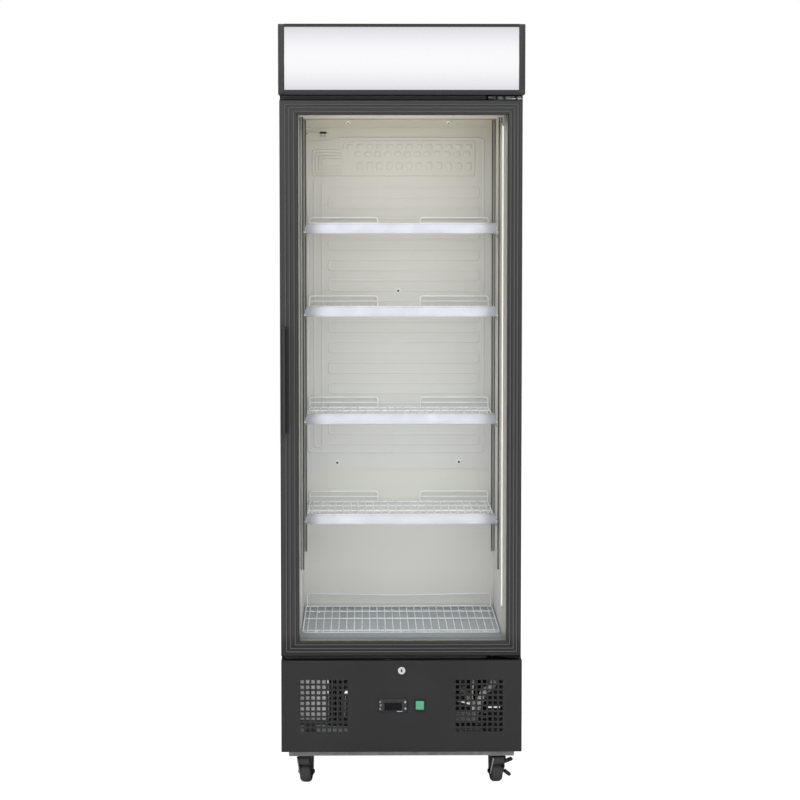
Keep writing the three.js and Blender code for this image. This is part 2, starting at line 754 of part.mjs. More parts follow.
// Compressor: a welded steel dome on feet, with its terminal box and two pipe stubs
const compressorSideInset = 140;
const compressorRearInset = 180;
const compressorX = halfWidth - compressorSideInset;
const compressorY = rearY - compressorRearInset;
const compressorRadius = 74;
const compressorHeight = 165;
const compressorFoot = 12;
const domeDrop = 46;
const seamWidth = 5;
const seamHeight = 6;
const compressorSides = 14;
const domeShoulderShare = 0.93; // radius of the dome part of the way up its end
const domeCrownShare = 0.62; // radius of the flat at its end
const domeShoulderDropShare = 0.4;
const domeCrownDropShare = 0.08;
const footHalf = 82;
const footWidth = 24;
const stubRadius = 5;
const stubHeight = 30;
const stubOffset = 30;
const terminalWidth = 50;
const terminalDepth = 30;
const terminalHeight = 60;
function compressor() {
  const seamZ = compressorFoot + (compressorHeight - compressorFoot) / 2;
  const outline = [
    [0, compressorFoot], [compressorRadius * domeCrownShare, compressorFoot],
    [compressorRadius * domeShoulderShare, compressorFoot + domeDrop * domeShoulderDropShare],
    [compressorRadius, compressorFoot + domeDrop], [compressorRadius, seamZ - seamHeight / 2],
    [compressorRadius + seamWidth, seamZ - seamHeight / 2],
    [compressorRadius + seamWidth, seamZ + seamHeight / 2],
    [compressorRadius, seamZ + seamHeight / 2], [compressorRadius, compressorHeight - domeDrop],
    [compressorRadius * domeShoulderShare, compressorHeight - domeDrop * domeShoulderDropShare],
    [compressorRadius * domeCrownShare, compressorHeight - domeDrop * domeCrownDropShare],
    [0, compressorHeight],
  ];
  const dome = new THREE.LatheGeometry(
    outline.map(([r, h]) => new THREE.Vector2(r, h)),
    compressorSides,
  );
  dome.rotateX(Math.PI / 2);
  dome.translate(compressorX, compressorY, panTop + seatGap);
  const base = panTop + seatGap;
  const feet = [-1, 1].map((side) =>
    block(
      compressorX - footHalf, compressorX + footHalf,
      compressorY + side * (compressorRadius / 2) - footWidth / 2,
      compressorY + side * (compressorRadius / 2) + footWidth / 2, base,
      base + compressorFoot + overrun,
    ),
  );
  const stubs = [-1, 1].map((side) =>
    rod(
      stubRadius, stubHeight + domeDrop, axleSides, "z", compressorX + side * stubOffset,
      compressorY, base + compressorHeight - domeDrop / 2 + stubHeight / 2,
    ),
  );
  const terminal = block(
    compressorX - terminalWidth / 2, compressorX + terminalWidth / 2,
    compressorY - compressorRadius - terminalDepth / 2, compressorY - compressorRadius / 2,
    base + compressorFoot + domeDrop / 2, base + compressorFoot + domeDrop / 2 + terminalHeight,
  );
  return joined(solidOf(dome), ...feet, ...stubs, terminal);
}

// Condenser: upright fins between end plates, with the tube bends at one side
const condenserSideInset = 120;
const condenserWidth = 250;
const condenserLeft = -halfWidth + condenserSideInset;
const condenserRight = condenserLeft + condenserWidth;
const condenserFront = 96;
const condenserDepth = 50;
const condenserHeight = 196;
const finCount = 12;
const finThickness = 2;
const finRoot = 6;
const endPlate = 3;
const bendCount = 3;
const bendSteps = 5;
const tubeSegments = 3;
const bendRadius = 5;
const bendReachShare = 0.184; // of the height that each bend has to itself
function condenser() {
  const pitch = (condenserWidth - endPlate) / (finCount - 1);
  const back = condenserFront + condenserDepth;
  const spineFront = condenserFront + condenserDepth / 2 - finRoot / 2;
  const points = [];
  for (let i = 0; i < finCount; i += 1) {
    const x = condenserLeft + i * pitch;
    const thick = i === 0 || i === finCount - 1 ? endPlate : finThickness;
    points.push([x, spineFront], [x, condenserFront], [x + thick, condenserFront], [x + thick, spineFront]);
  }
  for (let i = finCount - 1; i >= 0; i -= 1) {
    const x = condenserLeft + i * pitch;
    const thick = i === 0 || i === finCount - 1 ? endPlate : finThickness;
    const spineBack = spineFront + finRoot;
    points.push([x + thick, spineBack], [x + thick, back], [x, back], [x, spineBack]);
  }
  const base = panTop + seatGap;
  const bendPitch = condenserHeight / bendCount;
  const bendReach = bendPitch * bendReachShare;
  const bends = [];
  for (let i = 0; i < bendCount; i += 1) {
    const z = base + (i + 0.5) * bendPitch;
    const curve = new THREE.CatmullRomCurve3([
      new THREE.Vector3(condenserLeft + endPlate / 2, spineFront, z - bendReach),
      new THREE.Vector3(condenserLeft - bendReach / 2, spineFront, z - bendReach),
      new THREE.Vector3(condenserLeft - bendReach, spineFront, z),
      new THREE.Vector3(condenserLeft - bendReach / 2, spineFront, z + bendReach),
      new THREE.Vector3(condenserLeft + endPlate / 2, spineFront, z + bendReach),
    ]);
    const section = new THREE.Shape();
    section.absarc(0, 0, bendRadius, 0, 2 * Math.PI, false);
    bends.push(
      solidOf(
        new THREE.ExtrudeGeometry(section, {
          steps: bendSteps, curveSegments: tubeSegments, bevelEnabled: false, extrudePath: curve,
        }),
      ),
    );
  }
  return joined(raised(shapeFrom(points), base, condenserHeight), ...bends);
}

// Fan shroud: a plate with a round throat behind the condenser, and the motor on three arms
const shroudPlate = 2;
const throatMargin = 10; // between the throat and the top and bottom of the shroud's plate
const throatRadius = condenserHeight / 2 - throatMargin;
const throatLength = 24;
const throatWall = 2.5;
const throatSides = 18;
const motorRadius = 24;
const motorLength = 36;
const fanGap = 10;
const armWidth = 9;
const armThickness = 5;
const shaftRadius = 3.5;
const fanX = (condenserLeft + condenserRight) / 2;
const fanZ = panTop + seatGap + condenserHeight / 2;
const shroudFront = condenserFront + condenserDepth + seatGap;
const motorFront = shroudFront + shroudPlate + throatLength + fanGap;
const bladeTipGap = 8;
const fanBladeRadius = throatRadius - bladeTipGap;
const fanHubRadius = 20;
const fanHubLength = 20;
const fanBladeCount = 5;
const fanBladeThickness = 2;
const fanBladeWidth = 34;
const fanBladePitch = 28;
const fanY = shroudFront + shroudPlate + throatLength / 2;

function fanShroud() {
  const bottom = panTop + seatGap;
  const plate = rectangle(condenserLeft, condenserRight, bottom, bottom + condenserHeight);
  const throat = new THREE.Path();
  throat.absarc(fanX, fanZ, throatRadius, 0, 2 * Math.PI, true);
  plate.holes.push(throat);
  const ring = new THREE.Shape();
  ring.absarc(fanX, fanZ, throatRadius + throatWall, 0, 2 * Math.PI, false);
  ring.holes.push(throat);
  const ringBack = shroudFront + shroudPlate + throatLength;
  const arms = [0, 1, 2].map((index) => {
    const arm = new THREE.BoxGeometry(throatRadius + throatWall, armThickness, armWidth);
    arm.translate((throatRadius + throatWall) / 2, 0, 0);
    arm.rotateY((index * 2 * Math.PI) / 3 + Math.PI / 6);
    arm.translate(fanX, motorFront + armThickness / 2, fanZ);
    return solidOf(arm);
  });
  const posts = [0, 1, 2].map((index) => {
    const reach = throatRadius + throatWall - armWidth / 2;
    const post = new THREE.BoxGeometry(armWidth, motorFront + armThickness - ringBack + overrun, armWidth);
    post.translate(reach, 0, 0);
    post.rotateY((index * 2 * Math.PI) / 3 + Math.PI / 6);
    post.translate(fanX, (motorFront + armThickness + ringBack - overrun) / 2, fanZ);
    return solidOf(post);
  });
  const motor = rod(
    motorRadius, motorLength, pinSides, "y", fanX, motorFront + motorLength / 2, fanZ,
  );
  const shaftStart = fanY - fanHubLength / 2;
  const shaft = rod(
    shaftRadius, motorFront + overrun - shaftStart, axleSides, "y",
    fanX, (motorFront + overrun + shaftStart) / 2, fanZ,
  );
  return joined(
    standing(plate, shroudFront, shroudPlate, throatSides / 2),
    standing(ring, shroudFront + shroudPlate / 2, throatLength + shroudPlate / 2, throatSides / 2),
    ...arms, ...posts, motor, shaft,
  );
}

function condenserFan() {
  const hub = rod(fanHubRadius, fanHubLength, pinSides, "y", fanX, fanY, fanZ);
  const blades = [];
  for (let i = 0; i < fanBladeCount; i += 1) {
    const reach = fanBladeRadius - fanHubRadius / 2;
    const blade = new THREE.BoxGeometry(reach, fanBladeThickness, fanBladeWidth);
    const position = blade.attributes.position;
    for (let k = 0; k < position.count; k += 1) {
      if (position.getX(k) < 0) position.setZ(k, position.getZ(k) / 2);
    }
    blade.rotateX(THREE.MathUtils.degToRad(fanBladePitch));
    blade.translate(fanHubRadius / 2 + reach / 2, 0, 0);
    blade.rotateY((i * 2 * Math.PI) / fanBladeCount);
    blade.translate(fanX, fanY, fanZ);
    blades.push(solidOf(blade));
  }
  const shaftHole = rod(
    bore(shaftRadius, axleSides), fanHubLength + 2 * overrun, axleSides, "y", fanX, fanY, fanZ,
  );
  return cut(joined(hub, ...blades), shaftHole);
}

// Drip tray: catches the defrost water at the back of the machine compartment
const traySideInset = 48;
const trayLength = 282;
const trayDepth = 105;
const trayRearInset = 25;
const trayLeft = -halfWidth + traySideInset;
const trayRight = trayLeft + trayLength;
const trayFront = rearY - trayRearInset - trayDepth;
const trayHeight = 34;
const trayWall = 2.5;
function dripTray() {
  const bottom = panTop + seatGap;
  return cut(
    block(trayLeft, trayRight, trayFront, trayFront + trayDepth, bottom, bottom + trayHeight),
    block(
      trayLeft + trayWall, trayRight - trayWall, trayFront + trayWall,
      trayFront + trayDepth - trayWall, bottom + trayWall, bottom + trayHeight + overrun,
    ),
  );
}

// Evaporator plate: two bonded sheets with the channel blown up between them
const evaporatorSideGap = 3;
const evaporatorHalfWidth = insideHalf - evaporatorSideGap;
const evaporatorSheet = 1.5;
const evaporatorBottomShare = 0.288;
const evaporatorTopShare = 0.965;
const channelHeight = 2.2;
const channelWidth = 9;
const channelSlope = 2;
const channelPasses = 14;
const turnSegments = 3;
const channelMargin = 34;
const headerHeight = 76;
const headerMargin = 30;
const headerRows = 3;
const headerColumns = 11;
const headerWall = 7;
const evaporatorBottom = insideFloor + insideHeight * evaporatorBottomShare;
const evaporatorTop = insideFloor + insideHeight * evaporatorTopShare;
const evaporatorBack = insideBackY - seatGap;
const evaporatorFront = evaporatorBack - evaporatorSheet;

// A raised channel has sloping flanks: the outline at the sheet is wider than at its crest.
function embossed(outlineAt) {
  const foot = extruded(outlineAt(0), channelHeight, turnSegments);
  const crest = extruded(outlineAt(channelSlope), channelHeight, turnSegments);
  const from = foot.attributes.position;
  const to = crest.attributes.position;
  for (let i = 0; i < from.count; i += 1) {
    if (from.getZ(i) > channelHeight / 2) from.setXY(i, to.getX(i), to.getY(i));
  }
  foot.rotateX(Math.PI / 2);
  foot.translate(0, evaporatorFront + evaporatorSheet / 2, 0);
  return solidOf(foot);
}

function serpentine(inset) {
  const half = channelWidth / 2 - inset;
  const top = evaporatorTop - headerMargin - headerHeight - channelMargin;
  const pitch = (top - evaporatorBottom - channelMargin) / (channelPasses - 1);
  const bend = pitch / 2;
  const turnX = evaporatorHalfWidth - channelMargin - bend;
  const last = channelPasses - 1;
  const quarter = Math.PI / 2;
  const outline = new THREE.Shape();
  outline.moveTo(-turnX - bend, top - half);
  outline.lineTo(-turnX - bend, top + half);
  // Down one flank of the channel, pass by pass.
  for (let i = 0; i < last; i += 1) {
    const side = i % 2 === 0 ? 1 : -1;
    const z = top - i * pitch;
    outline.lineTo(side * turnX, z + side * half);
    const to = quarter - 2 * side * quarter;
    outline.absarc(side * turnX, z - bend, bend + side * half, quarter, to, side > 0);
  }
  const endSide = last % 2 === 0 ? 1 : -1;
  const endX = endSide * (turnX + bend);
  const endZ = top - last * pitch;
  outline.lineTo(endX, endZ + endSide * half);
  outline.lineTo(endX, endZ - endSide * half);
  // Back up the other flank.
  for (let i = last - 1; i >= 0; i -= 1) {
    const side = i % 2 === 0 ? 1 : -1;
    const z = top - i * pitch;
    outline.lineTo(side * turnX, z - pitch + side * half);
    const to = 2 * side * quarter - quarter;
    outline.absarc(side * turnX, z - bend, bend - side * half, -quarter, to, side < 0);
  }
  return outline;
}

function header(inset) {
  const x = evaporatorHalfWidth - headerMargin - inset;
  const top = evaporatorTop - headerMargin - inset;
  return rectangle(-x, x, top + 2 * inset - headerHeight, top);
}

function headerCells() {
  const left = -(evaporatorHalfWidth - headerMargin) + headerWall;
  const low = evaporatorTop - headerMargin - headerHeight + headerWall;
  const cellWidth = (-2 * left + headerWall) / headerColumns;
  const cellHeight = (headerHeight - headerWall) / headerRows;
  const cells = [];
  for (let column = 0; column < headerColumns; column += 1) {
    for (let row = 0; row < headerRows; row += 1) {
      const x = left + column * cellWidth;
      const z = low + row * cellHeight;
      cells.push(
        block(
          x, x + cellWidth - headerWall, evaporatorFront - channelHeight - overrun, evaporatorFront,
          z, z + cellHeight - headerWall,
        ),
      );
    }
  }
  return cells;
}

function evaporatorPlate() {
  const plate = block(
    -evaporatorHalfWidth, evaporatorHalfWidth, evaporatorFront, evaporatorBack,
    evaporatorBottom, evaporatorTop,
  );
  return cut(joined(plate, embossed(serpentine), embossed(header)), ...headerCells());
}

// Shelf standards: slotted channels on the side walls, each with a clip under every shelf
const standardWidth = 20;
const standardDepth = 9;
const standardWall = 1.5;
const standardFrontShare = 0.17;
const standardRearShare = 0.9;
const standardBottomShare = 0.123;
const standardTopShare = 0.998;
const clipReach = 15;
const clipThickness = 2;
const clipDrop = 9;
const clipWidth = 14;
const shelfLevelShares = [0.2238, 0.4171, 0.6238, 0.7829];
const deckThickness = 4;
const standardBottom = insideFloor + insideHeight * standardBottomShare;
const standardTop = insideFloor + insideHeight * standardTopShare;
const shelfLevels = shelfLevelShares.map((share) => insideFloor + insideHeight * share);

function shelfStandard(side, depthShare) {
  const wallX = insideHalf - seatGap;
  const y = faceY + insideDepth * depthShare;
  const inner = wallX - standardDepth;
  const channel = shapeFrom([
    [wallX, y - standardWidth / 2], [wallX, y - standardWidth / 2 + standardWall],
    [inner + standardWall, y - standardWidth / 2 + standardWall],
    [inner + standardWall, y + standardWidth / 2 - standardWall],
    [wallX, y + standardWidth / 2 - standardWall], [wallX, y + standardWidth / 2],
    [inner, y + standardWidth / 2], [inner, y - standardWidth / 2],
  ]);
  const clips = shelfLevels.map((level) => {
    const seat = level - deckThickness - seatGap;
    const bracket = shapeFrom([
      [inner + standardWall / 2, seat - clipDrop - clipThickness],
      [inner + standardWall / 2, seat], [inner - clipReach, seat],
      [inner - clipReach, seat - clipThickness], [inner - clipThickness, seat - clipThickness],
      [inner - clipThickness, seat - clipDrop - clipThickness],
    ]);
    return standing(bracket, y - clipWidth / 2, clipWidth);
  });
  const right = joined(raised(channel, standardBottom, standardTop - standardBottom), ...clips);
  return side > 0 ? right : right.mirror([1, 0, 0]);
}

// Wire shelf: side to side frame bars, front to back wires, cross wires below and a front stop
const shelfSideClearance = 6;
const shelfFrontY = 84;
const shelfBackClearance = 12;
const frameBar = 6;
const wireWidth = 3;
const shelfWirePitch = 26;
const rackWirePitch = 20;
const crossWire = 4;
const weldSink = 1; // how far a crossing wire is pressed into the deck where it is welded
const shelfCrossWires = 1;
const rackCrossWires = 2;
const stopRise = 12;
const stopWire = 4;
const stopPostCount = 3;
const rearStopRise = 27;
const rearStopGapShare = 0.22; // share of the shelf's width left open between its two rear stops
const rackSideClearance = 4;
const rackFootHeight = 4;

function wireDeck(halfW, pitch, bottom) {
  const top = bottom + deckThickness;
  const clear = 2 * (halfW - frameBar);
  const wires = Math.round(clear / pitch) - 1;
  const slot = (clear - wires * wireWidth) / (wires + 1);
  const slots = [];
  for (let i = 0; i <= wires; i += 1) {
    const x = -halfW + frameBar + i * (slot + wireWidth);
    slots.push(
      block(x, x + slot, shelfFrontY + frameBar, shelfBackY - frameBar, bottom - overrun, top + overrun),
    );
  }
  return cut(block(-halfW, halfW, shelfFrontY, shelfBackY, bottom, top), ...slots);
}

const shelfHalfWidth = insideHalf - standardDepth - shelfSideClearance;
const shelfBackY = evaporatorFront - shelfBackClearance;
const stripWall = 2;
const stripHeight = 27;
const stripAbove = 17; // how far the strip stands above the deck
const stripHook = 4;
const stripEndInset = 2;
const stopBack = shelfFrontY + stopWire;

function crossWires(count, halfW, deckBottom) {
  const wires = [];
  for (let i = 1; i <= count; i += 1) {
    const y = shelfFrontY + ((shelfBackY - shelfFrontY) * i) / (count + 1);
    wires.push(
      block(
        -halfW, halfW, y - crossWire / 2, y + crossWire / 2,
        deckBottom - crossWire, deckBottom + weldSink,
      ),
    );
  }
  return wires;
}

function wireShelf(level) {
  const deckBottom = level - deckThickness;
  const stop = block(
    -shelfHalfWidth, shelfHalfWidth, shelfFrontY, stopBack, level + stopRise - stopWire, level + stopRise,
  );
  const posts = [];
  for (let i = 0; i < stopPostCount; i += 1) {
    const x = -shelfHalfWidth + stopWire / 2 + (i * (2 * shelfHalfWidth - stopWire)) / (stopPostCount - 1);
    posts.push(
      block(x - stopWire / 2, x + stopWire / 2, shelfFrontY, stopBack, level - wireWidth, level + stopRise),
    );
  }
  const rearStops = [-1, 1].map((side) => {
    const inner = side * shelfHalfWidth * rearStopGapShare;
    const [x0, x1] = [inner, side * shelfHalfWidth].sort((a, b) => a - b);
    const hoop = ringShape([x0, x1, level - wireWidth, level + rearStopRise], stopWire);
    return standing(hoop, shelfBackY - stopWire, stopWire);
  });
  return joined(
    wireDeck(shelfHalfWidth, shelfWirePitch, deckBottom),
    ...crossWires(shelfCrossWires, shelfHalfWidth - frameBar, deckBottom),
    stop,
    ...posts,
    ...rearStops,
  );
}

// Ticket strip: a white channel that hooks over the front stop of its shelf
function ticketStrip(level) {
  const front = shelfFrontY - seatGap - stripWall;
  const top = level + stripAbove;
  const bottom = top - stripHeight;
  const hookTop = level + stopRise + seatGap;
  const hookBack = stopBack + seatGap;
  const profile = shapeFrom([
    [front, bottom + stripWall], [front, top - stripWall], [front + stripWall / 2, top],
    [front + stripWall, top], [hookBack + stripWall, hookTop + stripWall],
    [hookBack + stripWall, hookTop - stripHook], [hookBack, hookTop - stripHook],
    [hookBack, hookTop], [front + stripWall, hookTop], [front + stripWall, bottom],
    [front - stripWall, bottom], [front - stripWall, bottom + stripWall],
  ]);
  const halfLength = shelfHalfWidth - stripEndInset;
  return alongX(profile, -halfLength, 2 * halfLength);
}

// Bottom rack: the same wire deck, standing on its cross wires on the floor of the liner
function bottomRack() {
  const halfW = insideHalf - rackSideClearance;
  const deckBottom = insideFloor + seatGap + rackFootHeight;
  return joined(
    wireDeck(halfW, rackWirePitch, deckBottom),
    ...crossWires(rackCrossWires, halfW - frameBar, deckBottom),
  );
}

// Interior lamp: an upright light bar in the front corner beside the hinges
const lampWidth = 14;
const lampDepth = 9;
const lampBottomShare = 0.055;
const lampTopShare = 0.985;
const lampFrontInset = 8;
const lampSegments = 3;
function interiorLamp() {
  const wallX = insideHalf - seatGap;
  const y0 = faceY + lampFrontInset;
  const section = new THREE.Shape();
  section.moveTo(wallX, y0);
  section.lineTo(wallX, y0 + lampWidth);
  section.quadraticCurveTo(wallX - lampDepth, y0 + lampWidth, wallX - lampDepth, y0 + lampWidth / 2);
  section.quadraticCurveTo(wallX - lampDepth, y0, wallX, y0);
  const bottom = insideFloor + insideHeight * lampBottomShare;
  return raised(section, bottom, insideHeight * (lampTopShare - lampBottomShare), lampSegments);
}

// Temperature probe: a capsule in a clip at the top left of the back wall, with its short lead
const probeSideInset = 66;
const probeX = -insideHalf + probeSideInset;
const probeDrop = 30;
const probeRadius = 3;
const probeLength = 26;
const probeClip = 9;
const leadRadius = 1.5;
const leadRun = 44;
const leadRise = 15;
const leadSteps = 7;
function sensorProbe() {
  const z = insideCeiling - probeDrop;
  const back = insideBackY - seatGap;
  const y = back - probeClip / 2;
  const capsule = rod(probeRadius, probeLength, pinSides, "x", probeX, y, z);
  const half = probeClip / 2;
  const clip = block(probeX - half, probeX + half, y - half, back, z - half, z + half);
  const start = probeX - probeLength / 2;
  const lead = new THREE.CatmullRomCurve3([
    new THREE.Vector3(start + leadRadius, y, z),
    new THREE.Vector3(start - leadRun / 4, y, z + leadRise / 4),
    new THREE.Vector3(start - leadRun / 2, y, z),
    new THREE.Vector3(start - leadRun, y, z - leadRise),
  ]);
  const section = new THREE.Shape();
  section.absarc(0, 0, leadRadius, 0, 2 * Math.PI, false);
  const tube = new THREE.ExtrudeGeometry(section, {
    steps: leadSteps, curveSegments: tubeSegments, bevelEnabled: false, extrudePath: lead,
  });
  return joined(capsule, clip, solidOf(tube));
}

// Canopy: a folded housing between two moulded cheeks, an opal front panel and a light bar
const canopyFrontY = -canopyProud;
const canopyBackY = canopyFrontY + canopyDepth;
const canopyHalf = halfWidth + canopySideProud;
const housingHalf = canopyHalf - cheekThickness - seatGap;
const canopyLampEndGap = 4;
const canopyLampWidth = 24;
const canopyLampDepth = 12;
function canopyHousing() {
  const outline = shapeFrom([
    [canopyFrontY, canopyBottom], [canopyBackY, canopyBottom], [canopyBackY, canopyTop],
    [canopyFrontY, canopyTop], [canopyFrontY, canopyTop - canopyTopLip],
    [canopyFrontY + sheet, canopyTop - canopyTopLip], [canopyFrontY + sheet, canopyTop - sheet],
    [canopyBackY - sheet, canopyTop - sheet], [canopyBackY - sheet, canopyBottom + sheet],
    [canopyFrontY + sheet, canopyBottom + sheet], [canopyFrontY + sheet, canopyBottom + canopyBottomLip],
    [canopyFrontY, canopyBottom + canopyBottomLip],
  ]);
  return alongX(outline, -housingHalf, 2 * housingHalf);
}

function canopyCheek(side) {
  const r = cheekCornerRadius;
  const outline = new THREE.Shape();
  outline.moveTo(canopyFrontY + r, canopyBottom);
  outline.lineTo(canopyBackY, canopyBottom);
  outline.lineTo(canopyBackY, canopyTop - r);
  outline.quadraticCurveTo(canopyBackY, canopyTop, canopyBackY - r, canopyTop);
  outline.lineTo(canopyFrontY + r, canopyTop);
  outline.quadraticCurveTo(canopyFrontY, canopyTop, canopyFrontY, canopyTop - r);
  outline.lineTo(canopyFrontY, canopyBottom + r);
  outline.quadraticCurveTo(canopyFrontY, canopyBottom, canopyFrontY + r, canopyBottom);
  const x0 = side > 0 ? canopyHalf - cheekThickness : -canopyHalf;
  return alongX(outline, x0, cheekThickness, cheekCornerSegments);
}

function canopyPanel() {
  const front = canopyFrontY + sheet + seatGap + canopyPanelSetback;
  return block(
    -housingHalf + seatGap, housingHalf - seatGap, front, front + canopyPanelThickness,
    canopyBottom + sheet + seatGap, canopyTop - sheet - seatGap,
  );
}

function canopyLamp() {
  const back = canopyBackY - sheet - seatGap;
  const middle = canopyBottom + canopyHeight / 2;
  const section = new THREE.Shape();
  section.moveTo(back, middle - canopyLampWidth / 2);
  section.lineTo(back, middle + canopyLampWidth / 2);
  const crest = back - canopyLampDepth;
  section.quadraticCurveTo(crest, middle + canopyLampWidth / 2, crest, middle);
  section.quadraticCurveTo(crest, middle - canopyLampWidth / 2, back, middle - canopyLampWidth / 2);
  const half = housingHalf - canopyLampEndGap;
  return alongX(section, -half, 2 * half, lampSegments);
}

// Hinges: zinc plated brackets on the face of the cabinet, each with a pin into the door
const hingePinInset = 10.4; // from the edge of the door
const hingeX = doorRight - hingePinInset;
const hingeY = 22;
const hingePlate = 3.5;
const hingeReach = 84;
const hingePlateFront = 9;
const hingePinRadius = 4;
const hingePinDepth = 14;
const hingeFlangeHeight = 9;
const hingeEndMargin = 1;
function hingeBracket(plateBottom, pinBottom, pinTop, flangeBottom) {
  const right = doorRight - hingeEndMargin;
  const left = right - hingeReach;
  const back = faceY - seatGap;
  const plan = shapeFrom([
    [left, back], [left, back - 2 * hingePlate], [hingeX - 2 * hingePlateFront, hingePlateFront],
    [right - hingePlate, hingePlateFront], [right, hingePlateFront + hingePlate], [right, back],
  ]);
  return joined(
    raised(plan, plateBottom, hingePlate),
    block(left, right, back - hingePlate, back, flangeBottom, flangeBottom + hingeFlangeHeight),
    rod(hingePinRadius, pinTop - pinBottom, pinSides, "z", hingeX, hingeY, (pinTop + pinBottom) / 2),
  );
}

function hingeTop() {
  const bottom = doorTop + (upperGap - hingeFlangeHeight) / 2;
  return hingeBracket(bottom, doorTop - hingePinDepth, bottom + hingePlate / 2, bottom);
}

function hingeBottom() {
  const bottom = basePanelTop + seatGap;
  const plate = bottom + hingeFlangeHeight - hingePlate;
  return hingeBracket(plate, plate + hingePlate / 2, doorBottom + hingePinDepth, bottom);
}

// Door frame: four mitred lengths of one ridged profile, round a sealed double pane
const ridgeShares = [0.29, 0.51, 0.77];
const ridgeHalf = 1.6;
const ridgeHeight = 1.3;
const outerChamfer = 1.5;
const lipSlope = 3.5;
const lipThickness = 8;
const paneThickness = 4;
const paneGap = 10;
const rebateDepth = 10;
const beadInset = 3;
const beadThickness = 6;
const gasketInset = 14;
const gasketWidth = 22;
const grooveWidth = 5;
const grooveDepth = 5;
const grooveInset = gasketInset + (gasketWidth - grooveWidth) / 2;
const glazingDepth = 2 * paneThickness + paneGap + 4 * seatGap;

// The profile runs from the outer edge (0) to the sight line (width), and from front to back.
function frameProfile(width) {
  const points = [[0, ridgeHeight + outerChamfer], [outerChamfer, ridgeHeight]];
  for (const share of ridgeShares) {
    const middle = width * share;
    points.push([middle - ridgeHalf, ridgeHeight], [middle, 0], [middle + ridgeHalf, ridgeHeight]);
  }
  const glassBack = lipThickness + glazingDepth;
  points.push(
    [width - lipSlope, ridgeHeight], [width, ridgeHeight + lipSlope], [width, lipThickness],
    [width - rebateDepth, lipThickness], [width - rebateDepth, glassBack],
    [width - beadInset, glassBack], [width - beadInset, glassBack + beadThickness],
    [width - beadInset - lipSlope, doorDepth], [0, doorDepth],
  );
  return points;
}

// A ring that runs round the door at one distance from its outer edge.
function doorRing(inset, width, front, depth) {
  const outer = [doorLeft + inset, doorRight - inset, doorBottom + inset, doorTop - inset];
  return standing(ringShape(outer, width), front, depth);
}

// Cuts a member at the mitre, then cuts the groove that holds the gasket in its back.
function mitred(member, corners) {
  const outline = shapeFrom(corners);
  const length = member.intersect(standing(outline, -overrun, doorDepth + 2 * overrun));
  return cut(length, doorRing(grooveInset, grooveWidth, doorDepth - grooveDepth, grooveDepth + overrun));
}

function doorCorners() {
  return {
    outer: [doorLeft, doorRight, doorBottom, doorTop],
    inner: [glassLeft, glassRight, glassBottom, glassTop],
  };
}

function stile(side) {
  const { outer, inner } = doorCorners();
  const width = side < 0 ? handleStileWidth : hingeStileWidth;
  const profile = frameProfile(width).map(([u, v]) => [side < 0 ? outer[0] + u : outer[1] - u, v]);
  const shape = shapeFrom(side < 0 ? profile : profile.reverse());
  const body = raised(shape, outer[2], outer[3] - outer[2]);
  const x = side < 0 ? outer[0] : outer[1];
  const sight = side < 0 ? inner[0] : inner[1];
  return mitred(body, [[x, outer[2]], [sight, inner[2]], [sight, inner[3]], [x, outer[3]]]);
}

function rail(side) {
  const { outer, inner } = doorCorners();
  const z = side < 0 ? outer[2] : outer[3];
  const sight = side < 0 ? inner[2] : inner[3];
  const profile = frameProfile(railWidth).map(([u, v]) => [v, side < 0 ? z + u : z - u]);
  const shape = shapeFrom(side < 0 ? profile.reverse() : profile);
  const body = alongX(shape, outer[0], outer[1] - outer[0]);
  const gap = mitreGap;
  return mitred(body, [
    [outer[0] + gap, z], [outer[1] - gap, z], [inner[1] - gap, sight], [inner[0] + gap, sight],
  ]);
}
const mitreGap = 0.3;

function hingeHole(end) {
  const height = 2 * (hingePinDepth + overrun);
  return rod(bore(hingePinRadius, pinSides), height, pinSides, "z", hingeX, hingeY, end);
}

function doorPane(front) {
  const inset = rebateDepth - seatGap;
  return block(
    glassLeft - inset, glassRight + inset, front, front + paneThickness,
    glassBottom - inset, glassTop + inset,
  );
}

const spacerWidth = 8;
function glassSpacer(front) {
  const inset = rebateDepth - seatGap;
  const outer = [glassLeft - inset, glassRight + inset, glassBottom - inset, glassTop + inset];
  return standing(ringShape(outer, spacerWidth), front, paneGap);
}

const dartClearance = 0.5;
function doorGasket() {
  const front = doorDepth + seatGap;
  const dartFront = doorDepth - grooveDepth + dartClearance;
  return joined(
    doorRing(gasketInset, gasketWidth, front, gasketGap - 2 * seatGap),
    doorRing(
      grooveInset + dartClearance, grooveWidth - 2 * dartClearance, dartFront,
      front + dartClearance - dartFront,
    ),
  );
}

